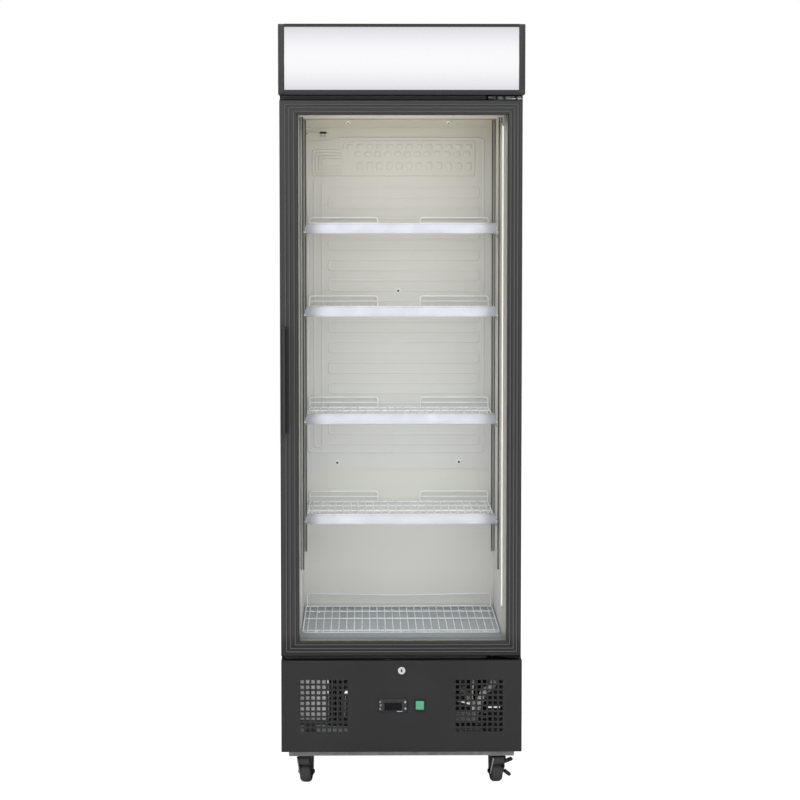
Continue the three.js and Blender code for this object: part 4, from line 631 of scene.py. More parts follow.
# Painted shade for the floor of the key slot in the lock.
key_slot_shade = moulded("key_slot", (0.004, 0.004, 0.004), 0.6)
print("glass, panel and lamps ready")

# %% [markdown]
# ## CAD parts that keep their own shape
# The sheet metal, the door frame and the plastic mouldings have the right form already. Each gets
# its finish, and a narrow bevel, because no bent sheet or moulding has a perfectly sharp edge. The
# imported faces don't share their corners, so a Weld comes before the Bevel.

# %% Dress the CAD nodes
def dress(finish, *names, bevel=0.0, smooth=35):
    for name in names:
        node = nodes[name]
        node.data.materials[0] = finish.material
        node.data.polygons.foreach_set("use_smooth", [True] * len(node.data.polygons))
        weld = node.modifiers.new("weld", "WELD")
        weld.merge_threshold = 0.00002
        if bevel:
            soften(node, bevel, angle=smooth)
        level = node.modifiers.new("faces", "WEIGHTED_NORMAL")
        level.weight = 60
        level.keep_sharp = True


dress(cabinet_coat, "outer_wrap", bevel=0.0008)
dress(cabinet_coat, "base_front_panel", bevel=0.0002)
dress(canopy_coat, "canopy_housing", bevel=0.0008)
dress(cheek_plastic, "canopy_cheek_left", "canopy_cheek_right", bevel=0.0022)
dress(liner_coat, "inner_liner", bevel=0.0004)
dress(foam_finish, "insulation")
dress(galvanised_sheet, "back_panel", "rear_guard", bevel=0.0004)
dress(pan_sheet, "base_pan", bevel=0.0005)
dress(stile_profile, "door_stile_handle", "door_stile_hinge", bevel=0.0005)
dress(rail_profile, "door_rail_top", "door_rail_bottom", bevel=0.0005)
dress(handle_plastic, "door_handle", bevel=0.0012)
dress(glass, "glass_outer", "glass_inner", bevel=0.0004)
dress(spacer_metal, "glass_spacer", bevel=0.0003)
dress(hinge_zinc, "hinge_top", bevel=0.0005)
dress(hinge_dark, "hinge_bottom", bevel=0.0005)
dress(chrome_face, "lock_housing", bevel=0.0003)
dress(bezel_plastic, "controller", bevel=0.0006)
dress(black_plastic, "switch_frame", bevel=0.0006)
dress(switch_green, "switch_rocker", bevel=0.0006)
dress(opal_panel, "canopy_panel", bevel=0.0006)
dress(canopy_lamp_glow, "canopy_lamp", bevel=0.0015)
dress(galvanised_sheet, "drip_tray", bevel=0.0004)
print("dressed", sum(1 for node in nodes.values() if node.modifiers))

# %% [markdown]
# ## Shelves and bottom rack
# Each shelf is a welded grid. Thin wires run from front to back and turn up at the front into a
# stop rod, thicker rods cross under them, and a round frame closes the edge. At the rear two hoops
# keep goods off the cold plate. The coating rounds each weld, so the rods meet without a gap.

# %% Wire shelves
SHELF_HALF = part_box("shelf_1")[1].x
SHELF_FRONT, SHELF_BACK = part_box("shelf_1")[0].y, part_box("shelf_1")[1].y
STRIP_BELOW = 10 * MM  # the ticket strip hangs this far below the top of the deck
LEVELS = [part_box("ticket_strip_%d" % n)[0].z + STRIP_BELOW for n in (1, 2, 3, 4)]
WIRE, ROD, WIRE_PITCH = 1.5 * MM, 2.0 * MM, 20 * MM
CORNER, TURN = 14 * MM, 9 * MM  # bend radii of the frames, and of the stops and hoops
SHELF_RODS = (-0.095, 0.045, 0.160)
STOP_RISE, HOOP_RISE, HOOP_BAR, HOOP_INNER = 9.5 * MM, 25.2 * MM, 11 * MM, 0.235
HOOK_BACK, HOOK_DROP, HOOK_INNER, HOOK_OUT = 17 * MM, 3 * MM, 9 * MM, 4.2 * MM


def wire_shelf(level):
    made = Shape()
    low = level - 2 * WIRE - 0.4 * MM
    x, front, back = SHELF_HALF - ROD, SHELF_FRONT + ROD, SHELF_BACK - ROD
    made.tube(bent(flat_loop(x, front, back, low), CORNER, closed=True), ROD, closed=True)
    for rod_y in SHELF_RODS:
        made.tube([(-x, rod_y, low - ROD), (x, rod_y, low - ROD)], ROD)
    end_y = front + ROD + WIRE
    for wire_x in spread(-x + 11 * MM, x - 11 * MM, WIRE_PITCH):
        path = [
            (wire_x, back - ROD, level - WIRE), (wire_x, end_y, level - WIRE),
            (wire_x, end_y, level + 9 * MM),
        ]
        made.tube(bent(path, 5 * MM, steps=3), WIRE, sides=6)
    made.tube(bent(arch(-x, x, front, low, level + STOP_RISE), TURN), ROD)
    for side in (-1, 1):
        inner, outer = side * SHELF_HALF * HOOP_INNER, side * x
        made.tube(bent(arch(inner, outer, back, low, level + HOOP_RISE), TURN), ROD * 0.9)
        made.tube([(inner, back, level + HOOP_BAR), (outer, back, level + HOOP_BAR)], WIRE, sides=6)
        hook_y, hook_z = front + HOOK_BACK, low - HOOK_DROP
        hook = [
            (side * (x - HOOK_INNER), hook_y, low), (side * x, hook_y, hook_z),
            (side * (SHELF_HALF + HOOK_OUT), hook_y, hook_z),
        ]
        made.tube(hook, 2.2 * MM)
    return made


for number, level in enumerate(LEVELS, 1):
    name = "shelf_%d" % number
    piece(wire_shelf(level), "wire_" + name, name, wire_coat, "wire_coat", smooth=60, stands_for=[name])


# %% Bottom rack
RACK_RODS = (-0.150, 0.045, 0.166)
RACK_FEET = [(x, y) for x in (-0.22, 0.0, 0.22) for y in (RACK_RODS[0], RACK_RODS[-1])]
STOP_TALL, STOP_SAG = 36 * MM, 5 * MM
FOOT = 3.4 * MM


def wire_rack():
    made = Shape()
    low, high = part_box("bottom_rack")
    top = high.z - 1.5 * MM
    x, front, back = high.x - ROD, low.y + ROD, high.y - ROD
    made.tube(bent(flat_loop(x, front, back, top), CORNER, closed=True), ROD * 0.95, closed=True)
    for wire_x in spread(-x + 12 * MM, x - 12 * MM, WIRE_PITCH):
        made.tube([(wire_x, front, top), (wire_x, back, top)], WIRE, sides=6)
    for rod_y in RACK_RODS:
        made.tube([(-x + ROD, rod_y, top - WIRE - ROD), (x - ROD, rod_y, top - WIRE - ROD)], ROD)
    stop_x, stop_y, peak = x - 3 * MM, back - ROD, top + STOP_TALL
    stop = arch(-stop_x, stop_x, stop_y, top, peak)
    stop.insert(2, (0, stop_y, peak - STOP_SAG))
    made.tube(bent(stop, 10 * MM, steps=6), ROD * 0.8)
    step, neck = low.z + 1.4 * MM, low.z + 2.6 * MM
    foot = [(0, low.z), (FOOT, low.z), (FOOT, step), (ROD, neck), (0, neck)]
    for foot_x, foot_y in RACK_FEET:
        made.turned(foot, (foot_x, foot_y, 0), UP, steps=12)
    return made


piece(
    wire_rack(), "wire_bottom_rack", "bottom_rack", wire_coat, "wire_coat", smooth=60,
    stands_for=["bottom_rack"],
)
print("shelves at", [round(level, 3) for level in LEVELS])

# %% [markdown]
# ## Ticket strips
# A ticket strip is one extruded section. Its face is set back between two rolled lips that hold a
# paper ticket, and its top edge hooks over the stop rod.

# %% Ticket strips
STRIP_SECTION = mm(  # from the front, and above the deck
    (1.6, -10), (0.5, -9.7), (0, -8.9), (0, -7.3), (0.9, -6.6), (1.5, -6.9), (1.5, 13.6), (0.9, 13.4),
    (0, 14.1), (0, 15.9), (0.6, 16.7), (1.6, 17), (9.4, 17), (10.6, 15.8), (10.6, 12.2), (9.4, 12.2),
    (9.2, 15.2), (3.4, 15.2), (3.1, 14.6), (3.1, -8.2), (2.8, -10),
)

for number, level in enumerate(LEVELS, 1):
    node = "ticket_strip_%d" % number
    low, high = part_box(node)
    strip = Shape().prism([(low.y + y, level + z) for y, z in STRIP_SECTION], low.x, high.x, "x")
    piece(
        strip, node + "_rail", "shelf_%d" % number, strip_plastic, "strip_plastic", smooth=50, bevel=0.0002,
        stands_for=[node],
    )
print("ticket strips", len(LEVELS))

# %% [markdown]
# ## Shelf standards and clips
# Each standard is a rolled channel with a row of slots in its web, so the web is built as a ladder
# of rungs between two edges. A clip of bent wire hooks into a slot under each shelf, and the wire
# crosses below the frame of the shelf as a shallow V.

# %% Slotted standards and their wire clips
CHANNEL_HALF, SLOT_WIDE, RUNG_WIDE = 10 * MM, 1.7 * MM, 1.8 * MM  # half widths
SLOT_PITCH, SLOT_LONG = 25 * MM, 12 * MM


def standard(name):
    low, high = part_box(name)
    side = 1 if high.x > 0 else -1
    wall, face = side * STANDARD_WALL, side * STANDARD_FACE
    middle = (low.y + high.y) / 2
    made = Shape()

    def box(x0, x1, y0, y1, z0, z1):
        made.box((min(x0, x1), min(y0, y1), z0), (max(x0, x1), max(y0, y1), z1))

    for edge in (-1, 1):
        outer = middle + edge * CHANNEL_HALF
        flange = middle + edge * (CHANNEL_HALF - STANDARD_SHEET)
        box(face, wall - side * 0.3 * MM, outer, flange, low.z, high.z)
        box(face, face + side * STANDARD_SHEET, outer, middle + edge * SLOT_WIDE, low.z, high.z)
    bottom = low.z
    while bottom < high.z - 1 * MM:
        top = min(bottom + SLOT_PITCH - SLOT_LONG, high.z)
        box(face, face + side * STANDARD_SHEET, middle - RUNG_WIDE, middle + RUNG_WIDE, bottom, top)
        bottom += SLOT_PITCH
    return made, side, face, middle


CLIP_TIP, CLIP_WIRE, CLIP_BEND = 240.5 * MM, 1.25 * MM, 2.6 * MM
CLIP_WIDE, CLIP_NARROW, CLIP_BELOW = 5.2 * MM, 3.4 * MM, 9.7 * MM


def clip(side, face, middle, level):
    made = Shape()
    under = level - CLIP_BELOW
    root, tip = face + side * 2.2 * MM, side * CLIP_TIP
    near, inner = face - side * 2 * MM, face - side * 3 * MM
    half = [(root, -CLIP_WIDE, 6 * MM), (near, -CLIP_WIDE, 5 * MM), (tip, -CLIP_NARROW, 0)]
    path = half + [(x, -y, z) for x, y, z in reversed(half)]
    made.tube(bent([(x, middle + y, under + z) for x, y, z in path], CLIP_BEND), CLIP_WIRE)
    brace = [
        (near, middle, under - 12 * MM), (inner, middle, under - 9 * MM),
        (tip + side * 1 * MM, middle, under),
    ]
    made.tube(bent(brace, 3 * MM), CLIP_WIRE)
    return made


PLACES = ("front_left", "front_right", "rear_left", "rear_right")
for end in PLACES:
    name = "shelf_standard_" + end
    made, side, face, middle = standard(name)
    piece(made, "channel_" + end, "cabinet", standard_zinc, "standard_steel", smooth=30, stands_for=[name])
    for number, level in enumerate(LEVELS, 1):
        made = clip(side, face, middle, level)
        piece(made, "clip_%s_%d" % (end, number), "cabinet", standard_zinc, "standard_steel", smooth=60)
print("standards dressed")

# %% [markdown]
# ## Evaporator plate
# This is a roll bonded plate: two aluminium sheets are rolled together, and the refrigerant channel
# is blown up between them. The channel winds down the plate as one serpentine inside a frame line,
# below a header of small pressed cells. Each channel is drawn as a low ridge along its path. Three
# screws on pale washers hold the plate, and the same screw fastens the rear panels.

# %% Ridges on the evaporator plate
PLATE_LOW, PLATE_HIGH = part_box("evaporator_plate")
PLATE_FACE = PLATE_HIGH.y - 1.5 * MM


def ridge(shape, path, width, height, closed=False):
    section = [(-0.5, -0.1), (-0.4, 0.55), (-0.24, 0.95), (0.24, 0.95), (0.4, 0.55), (0.5, -0.1)]
    rows, count = [], len(path)
    for i, (x, z) in enumerate(path):
        before = path[i - 1] if i or closed else path[i]
        after = path[(i + 1) % count] if i < count - 1 or closed else path[i]
        along = Vector((after[0] - before[0], after[1] - before[1])).normalized()
        rows.append([
            (x - along.y * across * width, PLATE_FACE - up * height, z + along.x * across * width)
            for across, up in section
        ])
    points = [point for row in rows for point in row]
    faces = []
    wide = len(section)
    for r in range(count if closed else count - 1):
        here, there = r * wide, (r + 1) % count * wide
        faces += [(here + i, here + i + 1, there + i + 1, there + i) for i in range(wide - 1)]
    shape.add(points, faces)


def rounded(x0, x1, z0, z1, radius, steps=5):
    corners = [(x0, 0, z0), (x1, 0, z0), (x1, 0, z1), (x0, 0, z1)]
    return [(p.x, p.z) for p in bent(corners, radius, steps=steps, closed=True)]


def pillow(shape, x, z, half_w, half_h, height):
    """A low round-cornered dome, as the pressed cells of the header."""
    rings = []
    for scale, up in ((1.0, -0.1), (0.86, 0.5), (0.66, 0.86), (0.35, 1.0)):
        w, h = half_w * scale, half_h * scale
        ring = rounded(x - w, x + w, z - h, z + h, half_h * 0.7 * scale, 2)
        rings.append([(px, PLATE_FACE - up * height, pz) for px, pz in ring])
    shape.rings(rings, capped=False)
    count = len(rings[0])
    shape.add(rings[-1], [tuple(range(count))])


def flat(*corners, radius=8 * MM, closed=False):
    """A rounded path in the plane of the plate, from (x, z) corners."""
    return [(p.x, p.z) for p in bent([(x, 0, z) for x, z in corners], radius, closed=closed)]


PLATE_SHEET, NOTCH, NOTCH_LEFT, NOTCH_RIGHT = 1.2 * MM, 10 * MM, -0.186, -0.176
LINE_LEFT, LINE_RIGHT, LINE_START, LINE_FOOT = -0.2498, 0.2325, -0.166, 46 * MM
SIDE_OUTER, SIDE_INNER, SIDE_FOOT = -0.232, -0.210, 14 * MM
RUN_PITCH, RUN_LEFT, RUN_RIGHT, RUN_TOP, RUN_FOOT = 28 * MM, -0.192, 0.219, 138 * MM, 22 * MM
HEADER_LEFT, HEADER_RIGHT, HEADER_TOP, HEADER_FOOT = -0.2355, 0.2065, 12 * MM, 106 * MM
LOOP_TOP, LOOP_PITCH, LOOP_END = 35 * MM, 8.5 * MM, -0.156
CELL_PITCH, CELL_RIGHT, CELL_HALF, CELL_RISE = 27 * MM, 0.1905, 10 * MM, 2.2 * MM
CELL_ROWS = (  # distance below the top of the plate, half height, count, shift to the left
    (26.4 * MM, 7.5 * MM, 13, 0), (46.3 * MM, 7.5 * MM, 12, 5 * MM), (78.9 * MM, 11 * MM, 12, 0),
)


def evaporator():
    made = Shape()
    x0, x1, z0, top = PLATE_LOW.x, PLATE_HIGH.x, PLATE_LOW.z, PLATE_HIGH.z
    edge = [(x0, z0), (x1, z0), (x1, top), (NOTCH_RIGHT, top), (NOTCH_LEFT, top - NOTCH), (x0, top - NOTCH)]
    made.prism(edge, PLATE_FACE, PLATE_FACE + PLATE_SHEET, "y")
    # the channel that frames the plate, and the loop down its left side
    low, side_top, line_top = z0 + LINE_FOOT, top - 118 * MM, top - 4 * MM
    line = flat(
        (LINE_START, line_top), (LINE_RIGHT, line_top), (LINE_RIGHT, low), (LINE_LEFT, low),
        (LINE_LEFT, side_top), radius=12 * MM,
    )
    ridge(made, line, 7 * MM, 1.2 * MM)
    foot = low + SIDE_FOOT
    side = flat((SIDE_OUTER, side_top), (SIDE_OUTER, foot), (SIDE_INNER, foot), (SIDE_INNER, top - 126 * MM))
    ridge(made, side, 7 * MM, 1.1 * MM)
    # the serpentine: one channel that turns at both ends
    corners = []
    for k, z in enumerate(spread(low + RUN_FOOT, top - RUN_TOP, RUN_PITCH)):
        ends = [(RUN_LEFT, z), (RUN_RIGHT, z)]
        corners += ends if k % 2 == 0 else ends[::-1]
    ridge(made, flat(*corners, radius=9 * MM), 6.5 * MM, 1.1 * MM)
    # the header: a box round rows of pressed cells, with nested loops at its left end
    roof, sill, neck, shoulder = top - HEADER_TOP, top - HEADER_FOOT, top - LOOP_TOP, top - 16 * MM
    header = flat(
        (-0.120, roof), (HEADER_RIGHT, roof), (HEADER_RIGHT, sill), (HEADER_LEFT, sill), (HEADER_LEFT, neck),
        (-0.150, neck), (-0.150, shoulder), (-0.128, shoulder), closed=True,
    )
    ridge(made, header, 5 * MM, 1.7 * MM, closed=True)
    for k in (1, 2, 3):
        reach = LOOP_PITCH * k
        x, upper, lower = HEADER_LEFT + reach, neck - reach, sill + reach
        ridge(made, flat((LOOP_END, upper), (x, upper), (x, lower), (LOOP_END, lower)), 4 * MM, 1.4 * MM)
    for down, half, count, shift in CELL_ROWS:
        for column in range(count):
            pillow(made, CELL_RIGHT - column * CELL_PITCH - shift, top - down, CELL_HALF, half, CELL_RISE)
    return made


piece(
    evaporator(), "roll_bonded_plate", "cabinet", evaporator_coat, "evaporator_coat", smooth=75,
    stands_for=["evaporator_plate"],
)
print("evaporator plate", [round(v, 4) for v in (*PLATE_LOW, *PLATE_HIGH)])


# %% Screws and washers
SCREW_PROFILE = (  # shares of the radius and of the height, with a round drive recess
    (0, 0), (1, 0), (1, 0.25), (0.86, 0.72), (0.55, 1), (0.30, 1), (0.22, 0.35), (0, 0.35),
)
PLATE_SCREWS = ((-0.0017, 1.2630), (-0.1695, 0.789), (0.1653, 0.791))
WASHER = mm((0, 0), (7, 0), (6.6, 1.0), (5.0, 1.5), (0, 1.5))
WASHER_THICK = 1.5 * MM
REAR_SCREW, REAR_COLUMN, GUARD_COLUMN, REAR_PITCH = 4.2 * MM, 0.292, 0.290, 0.33


def screw(shape, centre, out, radius, height):
    """A pan head, turned about the axis that points out of the surface."""
    return shape.turned([(r * radius, h * height) for r, h in SCREW_PROFILE], centre, out, steps=16)


plate_washers, plate_screws = Shape(), Shape()
for x, z in PLATE_SCREWS:
    plate_washers.turned(WASHER, (x, PLATE_FACE, z), OUT, steps=24)
    screw(plate_screws, (x, PLATE_FACE - WASHER_THICK, z), OUT, 3.2 * MM, 1.4 * MM)
piece(plate_washers, "evaporator_washers", "cabinet", plug_plastic, "strip_plastic", smooth=45)
piece(plate_screws, "evaporator_screws", "cabinet", black_plastic, "black_plastic", smooth=45)

rear_screws = Shape()
panel_low, panel_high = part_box("back_panel")
for z in spread(panel_low.z + 25 * MM, panel_high.z - 25 * MM, REAR_PITCH):
    for x in (-REAR_COLUMN, REAR_COLUMN):
        screw(rear_screws, (x, panel_high.y - 2.4 * MM, z), IN, REAR_SCREW, 2.2 * MM)
guard_low, guard_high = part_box("rear_guard")
for z in (guard_low.z + 14 * MM, guard_high.z - 14 * MM):
    for x in (-GUARD_COLUMN, 0, GUARD_COLUMN):
        screw(rear_screws, (x, guard_high.y - 0.2 * MM, z), IN, REAR_SCREW, 1.4 * MM)
piece(rear_screws, "rear_screws", "cabinet", zinc_plate, "zinc_plate", smooth=45)
print("screws placed")

# %% [markdown]
# ## Door gasket
# A magnetic door gasket is a soft extrusion: a dart that snaps into the frame, a bellows fold and a
# flat face that holds the magnet. The section is swept round the door with mitred corners.

# %% Gasket
def framed(section, x0, x1, z0, z1):
    """A closed section of (inset, y) pairs, swept round a rectangle with mitred corners."""
    made = Shape()
    corners = [(x0, z0, 1, 1), (x1, z0, -1, 1), (x1, z1, -1, -1), (x0, z1, 1, -1)]
    rings = [[(x + sx * inset, y, z + sz * inset) for inset, y in section] for x, z, sx, sz in corners]
    return made.rings(rings, closed=True)


gasket_low, gasket_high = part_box("door_gasket")
back, front = gasket_high.y, gasket_low.y
LEFT_FOLD = mm((3.5, 0), (6, 1.2), (6.5, 3.0), (1.2, 3.6), (0, 5.2), (1.6, 6.6), (0.8, 8.2))
RIGHT_FOLD = mm((21.2, 8.2), (20.4, 6.6), (22, 5.2), (20.8, 3.6), (15.5, 3.0), (16, 1.2), (18.5, 0))
MAGNET = mm((2.4, 0.6), (4, 0), (18, 0), (19.6, 0.6))  # inset, and the distance from the rear face
section = [(inset, front + y) for inset, y in LEFT_FOLD] + [(inset, back - y) for inset, y in MAGNET]
section += [(inset, front + y) for inset, y in RIGHT_FOLD]
gasket = framed(section, gasket_low.x, gasket_high.x, gasket_low.z, gasket_high.z)
piece(gasket, "bellows_gasket", "door", gasket_rubber, "gasket_rubber", smooth=50, stands_for=["door_gasket"])

# %% [markdown]
# ## Lamp and probe inside
# The lamp is a slim fitting on the right-hand wall: a diffuser runs along the front edge of its
# housing, between two end caps. A sloping cove joins the back wall to the ceiling, and the
# temperature probe sits in a black clip at the top of the plate.

# %% Interior lamp
lamp_low, lamp_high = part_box("interior_lamp")
wall_x, lamp_out = lamp_high.x, lamp_high.x - lamp_low.x
ROOT = 0.2 * MM  # the fitting starts this far off the wall
DIFFUSER_OUT, DIFFUSER_DEEP = 2.4 * MM, 3 * MM
END_CAP, BAND, BAND_AT = 7 * MM, 8 * MM, 0.32


def lamp_section(out, front, rear):
    """A half oval on the wall, between a front and a rear position."""
    half, middle = (rear - front) / 2, (front + rear) / 2
    outline = [(wall_x - ROOT, rear)]
    for k in range(9):
        a = math.pi * k / 8
        outline.append((wall_x - out * (0.5 + 0.5 * math.sin(a)), middle + half * math.cos(a)))
    return outline + [(wall_x - ROOT, front)]


z0, z1 = lamp_low.z + 6 * MM, lamp_high.z - 6 * MM
seam = lamp_low.y + DIFFUSER_DEEP
diffuser = Shape().prism(lamp_section(DIFFUSER_OUT, lamp_low.y + 0.3 * MM, seam), z0, z1, "z")
piece(
    diffuser, "lamp_diffuser", "cabinet", lamp_glow, "lamp_diffuser", smooth=50, stands_for=["interior_lamp"],
)
housing = Shape().prism(lamp_section(lamp_out * 0.7, seam, lamp_high.y), z0, z1, "z")
for z in (lamp_low.z, lamp_high.z - END_CAP):
    housing.prism(lamp_section(lamp_out * 0.8, lamp_low.y, lamp_high.y), z, z + END_CAP, "z")
for z in (lamp_low.z + BAND_AT, lamp_high.z - BAND_AT):
    housing.prism(lamp_section(lamp_out * 0.78, seam, lamp_high.y), z, z + BAND, "z")
piece(housing, "lamp_housing", "cabinet", liner_coat, "liner_coat", smooth=50, bevel=0.0006)

# %% Cove under the ceiling and its plugs
CEILING, BACK_WALL = 1.72997, 0.2516
COVE_DEEP, COVE_TALL, COVE_HALF, COVE_LIP = 36 * MM, 21.5 * MM, 261 * MM, 2 * MM
PLUG = mm((0, 0), (7.5, 0), (7.5, 1.2), (6.4, 3.4), (3.4, 4.4), (2.8, 3.2), (0, 3.0))
PLUG_HOLE = mm((0, 0), (2.7, 0), (2.7, 0.8), (0, 0.8))
PLUG_AT = 0.28  # share of the slope, from its upper edge

lip_y, upper_z, lip_z = BACK_WALL - COVE_DEEP, CEILING - 0.3 * MM, CEILING - COVE_LIP
cove_section = [(BACK_WALL, CEILING - COVE_TALL), (BACK_WALL, upper_z), (lip_y, upper_z), (lip_y, lip_z)]
cove = Shape().prism(cove_section, -COVE_HALF, COVE_HALF, "x")
piece(cove, "ceiling_cove", "cabinet", liner_coat, "liner_coat", smooth=30, bevel=0.0004)
slope = COVE_TALL - COVE_LIP
cove_out = Vector((0, -slope, -COVE_DEEP)).normalized()
plugs, hole_shade = Shape(), Shape()
for x in (-138 * MM, 135.5 * MM):
    centre = Vector((x, BACK_WALL - COVE_DEEP * (1 - PLUG_AT), lip_z - slope * PLUG_AT))
    plugs.turned(PLUG, centre, cove_out, steps=28)
    # Painted shade: a black disc in the dip of each plug stands for its hole.
    hole_shade.turned(PLUG_HOLE, centre + cove_out * 3.1 * MM, cove_out, steps=16)
piece(plugs, "ceiling_plugs", "cabinet", plug_plastic, "strip_plastic", smooth=40)
piece(hole_shade, "ceiling_plug_hole_shade", "cabinet", black_plastic, "black_plastic", smooth=0)

# %% Probe and its clip
PROBE_LOW, PROBE_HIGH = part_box("sensor_probe")
BULB = mm((0, 0), (2.2, 0.4), (2.9, 2), (2.9, 24), (1.6, 25.5), (0, 25.5))
BULB_OFF, CLIP_ROUND, CLIP_UP = 4.4 * MM, 4.2 * MM, 7 * MM


def probe():
    low, bulb_y = PROBE_LOW, PROBE_HIGH.y - BULB_OFF
    z, start = low.z + 5 * MM, low.x + 36 * MM
    made = Shape().turned(BULB, (start, bulb_y, z), (1, 0, 0), steps=20)
    lead = [
        (low.x + 1.6 * MM, PROBE_HIGH.y - 1.8 * MM, low.z + 1.6 * MM),
        (low.x + 8 * MM, bulb_y + 1 * MM, z + 6 * MM),
        (low.x + 26 * MM, bulb_y, z + 5 * MM), (start + 3 * MM, bulb_y, z),
    ]
    return made.tube(bent(lead, 12 * MM, steps=6), 1.4 * MM)


piece(
    probe(), "probe_bulb", "cabinet", probe_plastic, "probe_plastic", smooth=50, stands_for=["sensor_probe"],
)
holder = Shape()
for x in (PROBE_LOW.x + 42 * MM, PROBE_LOW.x + 52 * MM):
    turns = [math.radians(-140 + 28 * k) for k in range(11)]
    y, z = PROBE_HIGH.y - BULB_OFF, PROBE_LOW.z + CLIP_UP
    arc = [(x, y - CLIP_ROUND * math.cos(a), z + BULB_OFF * math.sin(a)) for a in turns]
    holder.tube(arc, 0.9 * MM, sides=6)
back = (PROBE_LOW.x + 38 * MM, PROBE_HIGH.y - 1.4 * MM, PROBE_LOW.z + 1 * MM)
holder.box(back, (PROBE_LOW.x + 56 * MM, PROBE_HIGH.y - 0.2 * MM, PROBE_LOW.z + 13 * MM))
piece(holder, "probe_clip", "cabinet", black_plastic, "black_plastic", smooth=40, bevel=0.0003)
print("lamp and probe placed")

# %% [markdown]
# ## Lock, controller and switch
# The lock barrel gets a true round face with its key slot cut in by a Boolean. The controller gets
# a dark lens in its window, two domed keys and its indicator dots, and the rocker keeps its form.

# %% Lock barrel
SLOT_HALF, SLOT_TALL, KEY_HALF, KEY_TALL = 2.0 * MM, 3.9 * MM, 1.95 * MM, 3.8 * MM
BARREL = mm((0, 0), (4.9, 0), (5.5, 0.6), (5.5, 20), (0, 20))
RING = mm((5.9, 0.9), (8.6, 0), (9.4, 0.5), (9.4, 2.3), (5.9, 2.3))


def carve(made, cutter_shape):
    mesh = bpy.data.meshes.new("cutter")
    mesh.from_pydata(cutter_shape.points, [], cutter_shape.faces)
    cutter = bpy.data.objects.new("cutter", mesh)
    bpy.context.scene.collection.objects.link(cutter)
    tidy_normals(cutter)
    cut = made.modifiers.new("cut", "BOOLEAN")
    cut.object = cutter
    cut.operation = "DIFFERENCE"
    cut.solver = "EXACT"
    bpy.context.view_layer.update()
    result = bpy.data.meshes.new_from_object(made.evaluated_get(bpy.context.evaluated_depsgraph_get()))
    made.modifiers.clear()
    made.data = result
    bpy.data.objects.remove(cutter)


lock_low, lock_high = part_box("lock_housing")
cam_low, cam_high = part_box("lock_barrel")
lock_z, lock_face = (lock_low.z + lock_high.z) / 2, cam_low.y
front, depth = (0, lock_low.y, lock_z), lock_high.y - lock_low.y
barrel = piece(
    Shape().turned(BARREL, (0, lock_face, lock_z), IN, steps=40),
    "lock_barrel_face", "lock_barrel", chrome_face, "zinc_plate", smooth=40,
)
carve(barrel, Shape().box(
    (-SLOT_HALF, lock_face - 1 * MM, lock_z - SLOT_TALL), (SLOT_HALF, lock_face + 5 * MM, lock_z + SLOT_TALL),
))
shade(barrel, 40)
neck = cam_low.x + 4 * MM
cam = [
    (neck, lock_z - 4.4 * MM), (5 * MM, lock_z - 5 * MM), (5.5 * MM, lock_z), (5 * MM, lock_z + 5 * MM),
    (neck, lock_z + 4.4 * MM), (cam_low.x, lock_z),
]
cam = Shape().prism(cam, cam_high.y - 2.5 * MM, cam_high.y - 0.1 * MM, "y")
piece(
    cam, "lock_cam", "lock_barrel", zinc_plate, "zinc_plate", smooth=30, bevel=0.0003,
    stands_for=["lock_barrel"],
)
# The floor of the key slot is near black, as painted shade in the deep slot.
slot_floor = Shape().box(
    (-KEY_HALF, lock_face + 1.4 * MM, lock_z - KEY_TALL), (KEY_HALF, lock_face + 4.4 * MM, lock_z + KEY_TALL),
)
piece(slot_floor, "lock_key_way", "lock_barrel", key_slot_shade, "zinc_plate", smooth=0)
ring = Shape().turned(RING, front, IN, steps=40)
piece(ring, "lock_ring", "cabinet", chrome_face, "zinc_plate", smooth=30)
body = [(5.9 * MM, 2.2 * MM), (7.9 * MM, 2.2 * MM), (7.9 * MM, depth), (5.9 * MM, depth)]
body = Shape().turned(body, front, IN, steps=40)
piece(body, "lock_body", "cabinet", zinc_plate, "zinc_plate", smooth=30, stands_for=["lock_housing"])
print("lock at", round(lock_z, 4))

# %% Controller window, keys and dots
ctrl_low, ctrl_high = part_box("controller")
middle_z, lens_x, face_y = (ctrl_low.z + ctrl_high.z) / 2, (ctrl_low.x + ctrl_high.x) / 2, ctrl_low.y
LENS_HALF, LENS_BELOW, LENS_ABOVE = 24 * MM, 14.2 * MM, 6.8 * MM
DOT = mm((1.2, 0), (2.5, 0), (2.3, 0.3), (1.4, 0.3))
DOTS = ((5, -9), (6.5, 0.5), (5, 9))  # millimetres from the left edge and from the middle
DASH_BELOW, DASH_TALL, DASH_FROM = 16.6 * MM, 2.2 * MM, 10 * MM

